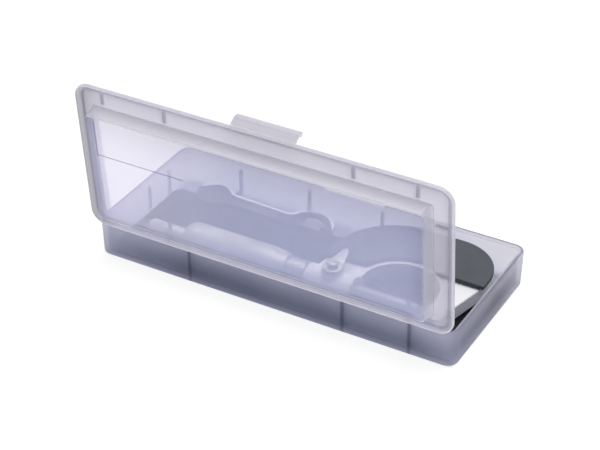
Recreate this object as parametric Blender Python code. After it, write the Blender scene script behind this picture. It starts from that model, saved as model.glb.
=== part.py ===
"""Hinged moulded case that holds a 0-25 mm outside micrometer and its hook spanner.

Metres, +Z up. The origin is the centre of the case's underside, +X runs along the case and
-Y is the hinge side. The lid stands open, the micrometer and the spanner lie in the base.
The case takes its size from what it holds and from named clearances.
"""
import math

import bmesh
import bpy
from mathutils import Matrix, Vector

# Fits shared by all pieces
GAP = 0.0003
RUNNING_GAP = 0.0003
ROUND_STEPS = 40

# Micrometer: measuring line
SPINDLE_R = 0.0032
SPINDLE_SEAT_R = 0.0021
ANVIL_R = 0.0032
ANVIL_STAND = 0.0030
ANVIL_SEAT = 0.0066
FACE_GAP = 0.0006

# Micrometer: frame, measured from the throat's middle and the measuring axis
THROAT_WIDTH = 0.0314
THROAT_DEPTH = 0.0233
FRAME_T = 0.0060
FRAME_EDGE = 0.0006
BOSS_WALL = 0.0006
BOSS_LENGTH = 0.0202
BOSS_EDGE = 0.00025
ANVIL_ARM_WIDTH = 0.0069
ANVIL_ARM_DROP = 0.0052
BACK_WIDTH = 0.0222
SPINDLE_SHOULDER_R = 0.0279
ANVIL_SHOULDER_R = 0.0194
SHOULDER_SPACING = 0.0160
ANVIL_SHOULDER_INSET = 0.0058

# Micrometer: insulating plates
PLATE_T = 0.0018
PLATE_OVERHANG = 0.0004
PLATE_EDGE = 0.0004
PLATE_RIM = 0.0015
SPINDLE_PLATE_END = 0.0131
ANVIL_PLATE_END = 0.0205
PLATE_END_SLOPE = math.radians(9.0)

# Micrometer: sleeve and thimble
SLEEVE_WALL = 0.0007
SLEEVE_LENGTH = 0.0434
SLEEVE_SHOWN = 0.0085
BARREL_WALL = 0.0015
BARREL_SEAT = 0.0052
BARREL_TAIL = 0.0028
NUT_LENGTH = 0.0028
NUT_RISE = 0.0005
FEED_ROOM = 0.0017
THIMBLE_WALL = 0.0013
THIMBLE_BEVEL = 0.0072
THIMBLE_LIP = 0.0003
THIMBLE_END_WALL = 0.0050
THIMBLE_SHOULDER = 0.0062
THIMBLE_NECK_R = 0.0040

# Micrometer: ratchet stop
RATCHET_COLLAR = 0.0074
KNOB_LENGTH = 0.0088
KNOB_WALL = 0.0012
KNOB_END = 0.0014
SCREW_R = 0.0010
SCREW_HEAD_R = 0.0018
SCREW_HEAD_T = 0.0012
SCREW_HEAD_ROOM = 0.0004
SPRING_WALL = 0.0005

# Micrometer: spindle lock
LOCK_FROM_THROAT = 0.0094
LOCK_PAD_R = 0.0046
LOCK_PAD_RISE = 0.0002
BUSH_R = 0.0043
BUSH_T = 0.0006
HUB_R = 0.0040
HUB_T = 0.0014
STUD_R = 0.0016
STUD_HEAD_R = 0.0024
STUD_HEAD_T = 0.0008
SHOE_T = 0.0009
LEVER_REACH = 0.0118
LEVER_WIDTH = 0.0031
LEVER_T = 0.0011
LEVER_RISE = 0.0011

# Hook spanner
SPANNER_T = 0.0015
SPANNER_EDGE = 0.00025
SPANNER_PITCH = 0.0463
EYE_R = 0.0082
EYE_HOLE_R = 0.0014
HANDLE_WIDTH = 0.0074
HOOK_R = 0.0110
HOOK_THROAT_R = 0.0070
HOOK_PIN = 0.0017
HOOK_TIP_ANGLE = math.radians(4.0)
HOOK_PIN_ANGLE = math.radians(18.0)
HOOK_HEEL_ANGLE = math.radians(210.0)
EYE_FILLET = 0.0050
HOOK_FILLET = 0.0030
SPANNER_TO_PLATE = 0.0112
SPANNER_TURN = math.radians(-2.4)

# Case: clearances round the contents, which set its inside
RATCHET_END_ROOM = 0.0142
FRAME_END_ROOM = 0.0023
FRONT_ROOM = 0.0048
BACK_ROOM = 0.0038
RIM_OVER_AXIS = 0.0064
LID_ROOM = 0.0056

# Case: base moulding
RIM_WIDTH = 0.0024
RIM_LAND = 0.0014
RIM_STEP = 0.0008
RIM_EDGE = 0.0004
BASE_WALL = 0.0019
BASE_FLOOR = 0.0016
THIMBLE_ROOM = 0.0007
BASE_DRAFT = 0.0004
BASE_FOOT_R = 0.0014
FLOOR_FILLET = 0.0015
CORNER_R = 0.0064
BASE_CORNER_R = 0.0050
RIB_WIDTH = 0.0014
RIB_DEPTH = 0.0012
RIB_BELOW_RIM = 0.0022
BACK_RIB_X = (-0.0505, -0.0172, 0.0170)
FRONT_RIB_X = (-0.0360, 0.0325, 0.0610)
LEFT_RIB_Y = (0.0006, 0.0156)
FOOTED_RIBS = 2
FOOT_WIDTH = 0.0010

# Case: lid moulding, heights above the base's rim when closed
LID_OPEN = math.radians(95.3)
LID_SEAT = 0.0003
FLANGE_TOP = 0.0020
FLANGE_T = 0.0012
LID_WALL = 0.0014
WINDOW_INSET = 0.0080
WINDOW_DRAFT = 0.0006
WINDOW_EDGE = 0.0008
LIP_WIDTH = 0.0010
LIP_DROP = 0.0004
GUSSET_WIDTH = 0.0009
BACK_GUSSET_X = (-0.0680, -0.0400, 0.0400, 0.0656)
FRONT_GUSSET_X = (-0.0428, 0.0616)
SIDE_GUSSET_Y = (-0.0062, 0.0160)

# Case: hinge web and snap latch
WEB_R = 0.0004
LATCH_X = 0.0026
LATCH_WIDTH = 0.0278
LATCH_T = 0.0009
LATCH_STAND = 0.0007
LATCH_RAMP = 0.0024
LATCH_DROP = 0.0055
LATCH_HOOK = 0.0006
LATCH_HOOK_T = 0.0010
CATCH_T = 0.0008
CATCH_STAND = 0.0005

# Foam liner
LINER_ROOM = 0.0012
LINER_CORNER_R = 0.0040
LINER_SHORT = 0.0095
FOOT_ROOM = 0.0008
SLOT_ROOM = 0.0009

# Round fits that build up from the spindle outwards
BARREL_BORE = SPINDLE_R + RUNNING_GAP
BARREL_R = BARREL_BORE + BARREL_WALL
SLEEVE_R = BARREL_R + GAP + SLEEVE_WALL
BOSS_R = BARREL_R + GAP + BOSS_WALL
NUT_R = BARREL_R + NUT_RISE
THIMBLE_BORE = SLEEVE_R + RUNNING_GAP
THIMBLE_R = THIMBLE_BORE + THIMBLE_WALL
KNOB_BORE = SCREW_HEAD_R + SCREW_HEAD_ROOM
RATCHET_R = KNOB_BORE + KNOB_WALL

# The thimble covers the sleeve's tail, the nut and the room that closing takes
THIMBLE_LENGTH = SLEEVE_LENGTH - SLEEVE_SHOWN + BARREL_TAIL + GAP + NUT_LENGTH + FEED_ROOM + THIMBLE_END_WALL

# Places that follow from the sizes above, along the measuring axis from the throat's middle
ARM_FACE = THROAT_WIDTH / 2
BOSS_END = -ARM_FACE - BOSS_LENGTH
SLEEVE_FRONT = BOSS_END - GAP
THIMBLE_FRONT = SLEEVE_FRONT - SLEEVE_SHOWN
THIMBLE_BACK = THIMBLE_FRONT - THIMBLE_LENGTH
COLLAR_FRONT = THIMBLE_BACK - GAP
COLLAR_BACK = COLLAR_FRONT - RATCHET_COLLAR
KNOB_FRONT = COLLAR_BACK - GAP
KNOB_BACK = KNOB_FRONT - KNOB_LENGTH
SPINDLE_TIP = ARM_FACE - ANVIL_STAND - FACE_GAP
LOCK_X = -ARM_FACE - LOCK_FROM_THROAT
FRAME_TOP = FRAME_T / 2
PLATE_TOP = FRAME_TOP + GAP + PLATE_T
THROAT_R = THROAT_WIDTH / 2
THROAT_CENTRE_Y = THROAT_DEPTH - THROAT_R
FRAME_BACK = THROAT_DEPTH + BACK_WIDTH
ANVIL_SHOULDER_X = ARM_FACE - ANVIL_SHOULDER_INSET
SPINDLE_SHOULDER_X = ANVIL_SHOULDER_X - SHOULDER_SPACING
FRAME_RIGHT = ANVIL_SHOULDER_X + ANVIL_SHOULDER_R + PLATE_OVERHANG
PLATE_BACK = FRAME_BACK + PLATE_OVERHANG
PLATE_LEFT = SPINDLE_SHOULDER_X - SPINDLE_SHOULDER_R - PLATE_OVERHANG

# The case's inside and outside, and where the micrometer lies in it
INSIDE_X = (FRAME_END_ROOM + FRAME_RIGHT - KNOB_BACK + RATCHET_END_ROOM) / 2
INSIDE_Y = (FRONT_ROOM + THIMBLE_R + PLATE_BACK + BACK_ROOM) / 2
CASE_X = INSIDE_X + RIM_WIDTH
CASE_Y = INSIDE_Y + RIM_WIDTH
MIC_X = INSIDE_X - FRAME_END_ROOM - FRAME_RIGHT
MIC_Y = FRONT_ROOM + THIMBLE_R - INSIDE_Y
MIC_Z = BASE_FLOOR + THIMBLE_ROOM + THIMBLE_R
RIM_Z = MIC_Z + RIM_OVER_AXIS
LINER_BOTTOM = BASE_FLOOR + GAP
LINER_TOP = MIC_Z - PLATE_TOP - GAP
WINDOW_TOP = MIC_Z + THIMBLE_R + LID_ROOM + LID_WALL - RIM_Z
HINGE_Y = -CASE_Y - WEB_R - GAP
HINGE_Z = RIM_Z + LID_SEAT / 2


def clear_scene():
    for existing in list(bpy.data.objects):
        bpy.data.objects.remove(existing, do_unlink=True)


def material(name, colour, roughness, metallic=0.0):
    """One Principled material with the piece's colour and finish."""
    made = bpy.data.materials.new(name)
    made.use_nodes = True
    shader = made.node_tree.nodes["Principled BSDF"]
    shader.inputs["Base Color"].default_value = (*colour, 1.0)
    shader.inputs["Roughness"].default_value = roughness
    shader.inputs["Metallic"].default_value = metallic
    return made


def empty(name, location, rotation=(0.0, 0.0, 0.0), parent=None):
    holder = bpy.data.objects.new(name, None)
    bpy.context.collection.objects.link(holder)
    holder.location = location
    holder.rotation_euler = rotation
    holder.parent = parent
    return holder


def add_object(name, bm, parent=None, finish=None, location=(0.0, 0.0, 0.0)):
    """Close the bmesh into a named object with outward faces."""
    bmesh.ops.recalc_face_normals(bm, faces=bm.faces)
    mesh = bpy.data.meshes.new(name)
    bm.to_mesh(mesh)
    bm.free()
    mesh.shade_smooth()
    mesh.set_sharp_from_angle(angle=math.radians(32.0))
    made = bpy.data.objects.new(name, mesh)
    bpy.context.collection.objects.link(made)
    made.location = location
    made.parent = parent
    if finish is not None:
        mesh.materials.append(finish)
    return made


def as_tool(made):
    """A cutter or a joined shape: hidden, drawn as wire."""
    made.hide_render = True
    made.display_type = "WIRE"
    return made


def combine(target, tool, operation, solver="EXACT"):
    step = target.modifiers.new(tool.name, "BOOLEAN")
    step.operation = operation
    step.solver = solver
    step.object = as_tool(tool)


def loft(rings):
    """Skin closed rings of equal length one to the next, and cap both ends."""
    bm = bmesh.new()
    rows = [[bm.verts.new(point) for point in ring] for ring in rings]
    count = len(rows[0])
    for low, high in zip(rows, rows[1:]):
        for i in range(count):
            j = (i + 1) % count
            bm.faces.new((low[i], low[j], high[j], high[i]))
    bm.faces.new(list(reversed(rows[0])))
    bm.faces.new(rows[-1])
    return bm


def turned(profile, steps=ROUND_STEPS):
    """Turn a closed (x, radius) outline about the X axis; radius 0 is a point on the axis.

    The first corner stands half a step off the Y axis, so that a flat faces each axis.
    """
    bm = bmesh.new()
    rows = []
    for x, radius in profile:
        if radius == 0.0:
            rows.append([bm.verts.new((x, 0.0, 0.0))])
            continue
        turn = [2 * math.pi * (i + 0.5) / steps for i in range(steps)]
        rows.append([bm.verts.new((x, radius * math.cos(a), radius * math.sin(a))) for a in turn])
    for one, other in zip(rows, rows[1:] + rows[:1]):
        for i in range(steps):
            j = (i + 1) % steps
            if len(one) == 1 and len(other) == 1:
                break
            if len(one) == 1:
                bm.faces.new((one[0], other[j], other[i]))
            elif len(other) == 1:
                bm.faces.new((one[i], one[j], other[0]))
            else:
                bm.faces.new((one[i], one[j], other[j], other[i]))
    return bm


def tube(x0, x1, inner, outer, chamfer=0.0):
    """Outline of a plain sleeve, with its outer corners chamfered."""
    return [
        (x0, inner),
        (x0, outer - chamfer),
        (x0 + chamfer, outer),
        (x1 - chamfer, outer),
        (x1, outer - chamfer),
        (x1, inner),
    ] if chamfer else [(x0, inner), (x0, outer), (x1, outer), (x1, inner)]


def rod(x0, x1, radius, chamfer):
    """Outline of a solid round bar with chamfered ends."""
    return [
        (x0, 0.0),
        (x0, radius - chamfer),
        (x0 + chamfer, radius),
        (x1 - chamfer, radius),
        (x1, radius - chamfer),
        (x1, 0.0),
    ]


def upright(bm):
    """Stand a shape that was turned about X on end, so that its axis is Z."""
    bmesh.ops.rotate(bm, verts=bm.verts, matrix=Matrix.Rotation(-math.pi / 2, 3, "Y"))
    return bm


def box(low, high):
    bm = bmesh.new()
    size = Vector(high) - Vector(low)
    middle = (Vector(high) + Vector(low)) / 2
    place = Matrix.Translation(middle) @ Matrix.Diagonal((*size, 1.0))
    bmesh.ops.create_cube(bm, size=1.0, matrix=place)
    return bm


def arc(cx, cy, radius, start, end, steps):
    """Points along an arc, both ends included."""
    turn = [start + (end - start) * i / steps for i in range(steps + 1)]
    return [(cx + radius * math.cos(a), cy + radius * math.sin(a)) for a in turn]


def rounded_ring(half_x, half_y, radius, z, steps=6):
    """A level rounded rectangle about the origin."""
    ring = []
    quarter = math.pi / 2
    corners = ((1, 1), (-1, 1), (-1, -1), (1, -1))
    for number, (sx, sy) in enumerate(corners):
        cx = sx * (half_x - radius)
        cy = sy * (half_y - radius)
        ring += arc(cx, cy, radius, number * quarter, (number + 1) * quarter, steps)
    return [(x, y, z) for x, y in ring]


def inset_ring(inset, z, corner=CORNER_R):
    """The case's outline at its rim, drawn in by an inset, at a height."""
    radius = max(corner - inset, corner / 4)
    return rounded_ring(CASE_X - inset, CASE_Y - inset, radius, z)


def offset_outline(outline, distance):
    """Draw a counter-clockwise outline in by a distance, along its corner bisectors."""
    moved = []
    count = len(outline)
    for i, point in enumerate(outline):
        here = Vector(point)
        before = (here - Vector(outline[i - 1])).normalized()
        after = (Vector(outline[(i + 1) % count]) - here).normalized()
        left = Vector((-before.y - after.y, before.x + after.x)).normalized()
        spread = max(left.dot(Vector((-before.y, before.x))), 0.5)
        moved.append(tuple(here + left * distance / spread))
    return moved


def plate_solid(outline, z0, z1, edge):
    """Stand an outline between two heights, with its edges chamfered."""
    small = offset_outline(outline, edge)
    levels = ((small, z0), (outline, z0 + edge), (outline, z1 - edge), (small, z1))
    return loft([[(x, y, z) for x, y in ring] for ring, z in levels])


def along_x(profile, x0, x1):
    """Run a closed (y, z) outline from x0 to x1."""
    return loft([[(x, y, z) for y, z in profile] for x in (x0, x1)])


# Case base

def base_height_inset(z):
    """How far the drafted outside wall stands in from the rim at a height."""
    return BASE_DRAFT * (1 - z / RIM_Z)


def base_rings():
    """Outside from the foot up, over the stepped rim, and down the inside to the floor."""
    rings = []
    foot_steps = 4
    for i in range(foot_steps + 1):
        a = math.pi / 2 * i / foot_steps
        z = BASE_FOOT_R * (1 - math.cos(a))
        rings.append((base_height_inset(z) + BASE_FOOT_R * (1 - math.sin(a)), z))
    rings.append((base_height_inset(RIM_Z - RIM_EDGE), RIM_Z - RIM_EDGE))
    rings.append((RIM_EDGE, RIM_Z))
    rings.append((RIM_LAND, RIM_Z))
    rings.append((RIM_LAND, RIM_Z - RIM_STEP))
    rings.append((RIM_WIDTH, RIM_Z - RIM_STEP))
    rings.append((BASE_DRAFT + BASE_WALL, BASE_FLOOR + FLOOR_FILLET))
    rings.append((BASE_DRAFT + BASE_WALL + FLOOR_FILLET * 0.3, BASE_FLOOR + FLOOR_FILLET * 0.3))
    rings.append((BASE_DRAFT + BASE_WALL + FLOOR_FILLET, BASE_FLOOR))
    return [inset_ring(inset, z, BASE_CORNER_R) for inset, z in rings]


def make_base(finish):
    base = add_object("base_shell", loft(base_rings()), finish=finish)
    wall = BASE_DRAFT + BASE_WALL
    reach = wall + RIB_DEPTH
    root = RIM_WIDTH * 0.75
    top = RIM_Z - RIB_BELOW_RIM
    half = RIB_WIDTH / 2
    ribs = []
    for x in BACK_RIB_X:
        ribs.append(((x - half, CASE_Y - reach), (x + half, CASE_Y - root)))
    for x in FRONT_RIB_X:
        ribs.append(((x - half, root - CASE_Y), (x + half, reach - CASE_Y)))
    for y in LEFT_RIB_Y:
        ribs.append(((root - CASE_X, y - half), (reach - CASE_X, y + half)))
    for number, (low, high) in enumerate(ribs):
        rib = box((*low, BASE_FLOOR - GAP), (*high, top))
        combine(base, add_object(f"base_rib_{number}", rib), "UNION")
    foot_y = liner_back() + FOOT_ROOM
    for number, x in enumerate(BACK_RIB_X[:FOOTED_RIBS]):
        low = (x - FOOT_WIDTH / 2, foot_y, BASE_FLOOR - GAP)
        foot = box(low, (x + FOOT_WIDTH / 2, CASE_Y - root, LINER_TOP))
        combine(base, add_object(f"rib_foot_{number}", foot), "UNION")
    combine(base, make_catch(), "UNION")
    combine(base, make_latch_relief(), "DIFFERENCE")


def latch_span(room=0.0):
    """The latch's two ends along X, spread by some room."""
    half = LATCH_WIDTH / 2 + room
    return LATCH_X - half, LATCH_X + half


def make_catch():
    """Ridge on the outside of the back wall that the latch snaps under."""
    z1 = RIM_Z - LATCH_RAMP - GAP
    z0 = z1 - CATCH_T
    wall = CASE_Y - base_height_inset(z0)
    profile = [
        (wall - BASE_WALL / 2, z0),
        (wall + CATCH_STAND, z0),
        (wall + CATCH_STAND, z0 + CATCH_T * 0.4),
        (wall - BASE_WALL / 2, z1),
    ]
    return add_object("base_catch", along_x(profile, *latch_span(-CATCH_T)))


def make_latch_relief():
    """Bevel on the rim's back edge that the latch's ramp passes over."""
    run = LATCH_STAND + LATCH_T
    slope = run / LATCH_RAMP
    set_back = LATCH_T + GAP * math.hypot(1.0, slope) + GAP * slope
    edge = CASE_Y - set_back
    profile = [
        (edge - GAP * slope, RIM_Z + GAP),
        (CASE_Y + LATCH_STAND, RIM_Z - (set_back + LATCH_STAND) / slope),
        (CASE_Y + LATCH_STAND, RIM_Z + GAP),
    ]
    return add_object("latch_relief", along_x(profile, *latch_span(GAP)))


# Case lid, modelled closed about the hinge axis and turned open by its parent

def lid_rings():
    """Outside from the window's middle out to the flange edge, then back along the inside."""
    wall_top = WINDOW_INSET + WINDOW_DRAFT
    lip_out = RIM_LAND + GAP
    lip_in = lip_out + LIP_WIDTH
    inner = WINDOW_INSET + LID_WALL
    under = FLANGE_TOP - FLANGE_T
    rings = [
        (wall_top + WINDOW_EDGE, WINDOW_TOP),
        (wall_top + WINDOW_EDGE * 0.3, WINDOW_TOP - WINDOW_EDGE * 0.3),
        (wall_top, WINDOW_TOP - WINDOW_EDGE),
        (WINDOW_INSET, FLANGE_TOP),
        (RIM_EDGE, FLANGE_TOP),
        (0.0, FLANGE_TOP - RIM_EDGE),
        (0.0, LID_SEAT),
        (lip_out, LID_SEAT),
        (lip_out, -LIP_DROP),
        (lip_in, -LIP_DROP),
        (lip_in, under),
        (inner, under),
        (inner + WINDOW_DRAFT, WINDOW_TOP - LID_WALL),
    ]
    return [inset_ring(inset, z) for inset, z in rings]


def lid_gussets():
    """Small ribs under the flange, from the window's wall to the lip."""
    low = RIM_LAND + GAP + LIP_WIDTH / 2
    high = WINDOW_INSET + LID_WALL / 2
    half = GUSSET_WIDTH / 2
    spans = [((x - half, CASE_Y - high), (x + half, CASE_Y - low)) for x in BACK_GUSSET_X]
    spans += [((x - half, low - CASE_Y), (x + half, high - CASE_Y)) for x in FRONT_GUSSET_X]
    spans += [((CASE_X - high, y - half), (CASE_X - low, y + half)) for y in SIDE_GUSSET_Y]
    return spans


def make_lid(pivot, finish):
    place = (0.0, -HINGE_Y, RIM_Z - HINGE_Z)
    lid = add_object("lid_shell", loft(lid_rings()), pivot, finish, place)
    for number, (low, high) in enumerate(lid_gussets()):
        rib = box((*low, LID_SEAT), (*high, FLANGE_TOP - FLANGE_T / 2))
        combine(lid, add_object(f"lid_gusset_{number}", rib, pivot, None, place), "UNION")


def make_hinge(finish):
    """The thin web that the two halves fold on, along the hinge axis."""
    half = CASE_X - CORNER_R
    web = turned(rod(-half, half, WEB_R, WEB_R / 4), 12)
    add_object("living_hinge", web, None, finish, (0.0, HINGE_Y, HINGE_Z))


def latch_profile():
    """Section of the latch when closed: y out from the case's back face, z up from the rim.

    A ramp leads from under the lid's edge out past the base's wall, to a plain finger tab.
    """
    inner = LATCH_STAND
    outer = LATCH_STAND + LATCH_T
    hook_top = -LATCH_RAMP - CATCH_T - 2 * GAP
    hook_low = hook_top - LATCH_HOOK_T
    return [
        (0.0, LID_SEAT - GAP),
        (-LATCH_T, LID_SEAT - GAP),
        (inner, -LATCH_RAMP),
        (inner, hook_top),
        (inner - LATCH_HOOK, hook_top),
        (inner - LATCH_HOOK, hook_top - LATCH_HOOK_T * 0.3),
        (inner, hook_low),
        (inner + LATCH_T * 0.3, -LATCH_DROP),
        (outer - LATCH_T * 0.1, -LATCH_DROP),
        (outer, -LATCH_DROP + LATCH_T * 0.3),
        (outer, -LATCH_RAMP),
    ]


def make_latch(pivot, finish):
    """Snap latch below the lid's back edge; it flexes about its root."""
    root_y = CASE_Y - LATCH_T / 2
    flex = empty("latch_flex_axis", (0.0, root_y - HINGE_Y, RIM_Z - HINGE_Z), parent=pivot)
    profile = [(y + CASE_Y - root_y, z) for y, z in latch_profile()]
    add_object("latch_tab", along_x(profile, *latch_span()), flex, finish)


def liner_room():
    """How far the liner stands in from the case's outside."""
    return BASE_DRAFT + BASE_WALL + RIB_DEPTH + GAP + LINER_ROOM


def liner_back():
    """Where the liner ends below the spanner, whose other half the ribs' feet carry."""
    return CASE_Y - liner_room() - LINER_SHORT


def make_liner(finish):
    """Die-cut foam sheet on the floor, with a slot that the barrel and thimble lie in."""
    half_x = CASE_X - liner_room()
    half_y = CASE_Y - liner_room() - LINER_SHORT / 2
    rings = []
    for z in (LINER_BOTTOM, LINER_TOP):
        ring = rounded_ring(half_x, half_y, LINER_CORNER_R, z)
        rings.append([(x, y - LINER_SHORT / 2, z) for x, y, z in ring])
    liner = add_object("foam_liner", loft(rings), finish=finish)
    depth = MIC_Z - LINER_TOP
    half = math.sqrt(THIMBLE_R ** 2 - depth ** 2) + SLOT_ROOM
    low = (MIC_X + KNOB_BACK + SLOT_ROOM, MIC_Y - half, LINER_BOTTOM - GAP)
    high = (MIC_X - ARM_FACE + SLOT_ROOM, MIC_Y + half, LINER_TOP + GAP)
    combine(liner, add_object("liner_slot", box(low, high)), "DIFFERENCE")


# Micrometer, modelled about the throat's middle with the measuring axis along X

def back_curve(grow, start_y):
    """Outer edge of the frame from the anvil side over the back to the spindle side."""
    right = ANVIL_SHOULDER_R + grow
    left = SPINDLE_SHOULDER_R + grow
    right_y = FRAME_BACK - ANVIL_SHOULDER_R
    left_y = FRAME_BACK - SPINDLE_SHOULDER_R
    end = math.pi + math.asin(min(max((left_y - start_y) / left, 0.0), 1.0))
    points = arc(ANVIL_SHOULDER_X, right_y, right, 0.0, math.pi / 2, 10)
    return points + arc(SPINDLE_SHOULDER_X, left_y, left, math.pi / 2, end, 14)


def frame_outline():
    """Counter-clockwise: anvil arm, back, spindle arm, and round the throat."""
    tip = ARM_FACE + ANVIL_ARM_WIDTH
    boss_low = -BOSS_R / 2
    points = [(tip - ANVIL_ARM_DROP / 3, -ANVIL_ARM_DROP), (tip, -ANVIL_ARM_DROP * 0.6)]
    points += back_curve(0.0, SPINDLE_PLATE_END)
    points += [(BOSS_END + FRAME_EDGE * 2, BOSS_R), (BOSS_END + FRAME_EDGE * 2, boss_low)]
    points += [(-ARM_FACE - FRAME_EDGE, boss_low), (-ARM_FACE, boss_low + FRAME_EDGE)]
    points += arc(0.0, THROAT_CENTRE_Y, THROAT_R, math.pi, 0.0, 20)
    points += [(ARM_FACE, -ANVIL_ARM_DROP * 0.8), (ARM_FACE + FRAME_EDGE, -ANVIL_ARM_DROP)]
    return points


def make_frame(mic, finish):
    body = plate_solid(frame_outline(), -FRAME_TOP, FRAME_TOP, FRAME_EDGE)
    frame = add_object("micrometer_frame", body, mic, finish)
    pad_top = BOSS_R + LOCK_PAD_RISE
    arm_end = ARM_FACE + ANVIL_SEAT + GAP + FRAME_EDGE * 2
    lock_place = (LOCK_X, 0.0, 0.0)
    boss = turned(rod(BOSS_END, -ARM_FACE + GAP, BOSS_R, BOSS_EDGE))
    nose = turned(rod(ARM_FACE - GAP, arm_end, ANVIL_R + FRAME_EDGE * 2, FRAME_EDGE))
    pad = upright(turned(rod(0.0, pad_top, LOCK_PAD_R, FRAME_EDGE)))
    bore = turned(rod(BOSS_END - GAP, 0.0, SPINDLE_R + RUNNING_GAP, GAP / 2))
    seat = turned(rod(BOSS_END - GAP, BOSS_END + BARREL_SEAT, BARREL_R + GAP, GAP / 2))
    hole = turned(rod(0.0, ARM_FACE + ANVIL_SEAT, ANVIL_R + GAP, GAP / 2))
    lock = upright(turned(rod(SPINDLE_R, pad_top + GAP, STUD_R + RUNNING_GAP, GAP / 2)))
    steps = (
        (add_object("frame_boss", boss, mic), "UNION"),
        (add_object("frame_nose", nose, mic), "UNION"),
        (add_object("lock_pad", pad, mic, None, lock_place), "UNION"),
        (add_object("spindle_bore", bore, mic), "DIFFERENCE"),
        (add_object("barrel_seat", seat, mic), "DIFFERENCE"),
        (add_object("anvil_seat", hole, mic), "DIFFERENCE"),
        (add_object("lock_hole", lock, mic, None, lock_place), "DIFFERENCE"),
    )
    for tool, operation in steps:
        combine(frame, tool, operation, "MANIFOLD")


def plate_outline():
    """Counter-clockwise crescent over the frame's back, cut straight on both arms."""
    inner = THROAT_R + PLATE_RIM
    right_end = math.asin((ANVIL_PLATE_END - THROAT_CENTRE_Y) / inner)
    left_end = math.asin((SPINDLE_PLATE_END - THROAT_CENTRE_Y) / inner)
    edge = FRAME_RIGHT - PLATE_EDGE
    left = SPINDLE_SHOULDER_R + PLATE_OVERHANG
    left_low = SPINDLE_PLATE_END - left * math.sin(PLATE_END_SLOPE) / 2
    points = [(edge, ANVIL_PLATE_END), (FRAME_RIGHT, ANVIL_PLATE_END + PLATE_EDGE)]
    points += back_curve(PLATE_OVERHANG, left_low)
    points += arc(0.0, THROAT_CENTRE_Y, inner, math.pi - left_end, right_end, 18)
    return points


def make_plates(mic, finish):
    for name, side in (("upper_plate", 1.0), ("lower_plate", -1.0)):
        low, high = sorted((side * (FRAME_TOP + GAP), side * PLATE_TOP))
        add_object(name, plate_solid(plate_outline(), low, high, PLATE_EDGE), mic, finish)


def make_measuring_line(mic, steel, dark):
    anvil = rod(ARM_FACE - ANVIL_STAND, ARM_FACE + ANVIL_SEAT - GAP, ANVIL_R, GAP)
    add_object("anvil", turned(anvil), mic, steel)
    seat = THIMBLE_BACK + THIMBLE_END_WALL + GAP
    spindle = [
        (THIMBLE_BACK + GAP, 0.0),
        (THIMBLE_BACK + GAP, SPINDLE_SEAT_R),
        (seat, SPINDLE_SEAT_R),
        (seat, SPINDLE_R),
        (SPINDLE_TIP - GAP, SPINDLE_R),
        (SPINDLE_TIP, SPINDLE_R - GAP),
        (SPINDLE_TIP, 0.0),
    ]
    add_object("spindle", turned(spindle), mic, steel)
    tail = SLEEVE_FRONT - SLEEVE_LENGTH
    sleeve = tube(tail, SLEEVE_FRONT, SLEEVE_R - SLEEVE_WALL, SLEEVE_R)
    add_object("outer_sleeve", turned(sleeve), mic, steel)
    barrel_back = tail - BARREL_TAIL
    barrel = tube(barrel_back, BOSS_END + BARREL_SEAT - GAP, BARREL_BORE, BARREL_R)
    add_object("inner_sleeve", turned(barrel), mic, steel)
    nut_front = barrel_back - GAP
    nut = tube(nut_front - NUT_LENGTH, nut_front, BARREL_BORE, NUT_R, GAP)
    add_object("adjusting_nut", turned(nut), mic, dark)


def make_thimble(mic, finish):
    """Sleeve over the barrel: bevelled graduated lip in front, rounded shoulder behind."""
    wall = THIMBLE_BACK + THIMBLE_END_WALL
    shoulder = []
    for i in range(7):
        a = math.pi / 2 * i / 6
        x = THIMBLE_BACK + THIMBLE_SHOULDER * (1 - math.sin(a))
        shoulder.append((x, THIMBLE_NECK_R + (THIMBLE_R - THIMBLE_NECK_R) * math.cos(a)))
    profile = [(THIMBLE_FRONT, THIMBLE_BORE), (THIMBLE_FRONT, THIMBLE_BORE + THIMBLE_LIP)]
    profile += [(THIMBLE_FRONT - THIMBLE_BEVEL, THIMBLE_R)]
    profile += shoulder
    hole = SPINDLE_SEAT_R + RUNNING_GAP
    profile += [(THIMBLE_BACK, hole), (wall, hole), (wall, THIMBLE_BORE)]
    add_object("thimble", turned(profile, 48), mic, finish)


def make_ratchet(mic, steel, dark):
    bore = SCREW_R + RUNNING_GAP
    collar = tube(COLLAR_BACK, COLLAR_FRONT, bore, RATCHET_R, GAP * 2)
    add_object("ratchet_collar", turned(collar), mic, steel)
    inside = KNOB_BACK + KNOB_END
    knob = [
        (KNOB_BACK, 0.0),
        (KNOB_BACK, RATCHET_R - KNOB_END / 2),
        (KNOB_BACK + KNOB_END / 2, RATCHET_R),
        (KNOB_FRONT - GAP, RATCHET_R),
        (KNOB_FRONT, RATCHET_R - GAP),
        (KNOB_FRONT, KNOB_BORE),
        (inside, KNOB_BORE),
        (inside, 0.0),
    ]
    add_object("ratchet_knob", turned(knob), mic, steel)
    head = inside + GAP
    screw = [
        (head, 0.0),
        (head, SCREW_HEAD_R),
        (head + SCREW_HEAD_T, SCREW_HEAD_R),
        (head + SCREW_HEAD_T, SCREW_R),
        (COLLAR_FRONT, SCREW_R),
        (COLLAR_FRONT, 0.0),
    ]
    add_object("ratchet_screw", turned(screw, 24), mic, dark)
    spring_in = SCREW_R + RUNNING_GAP
    spring = tube(head + SCREW_HEAD_T + GAP, KNOB_FRONT, spring_in, spring_in + SPRING_WALL)
    add_object("ratchet_spring", turned(spring, 24), mic, dark)


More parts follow.
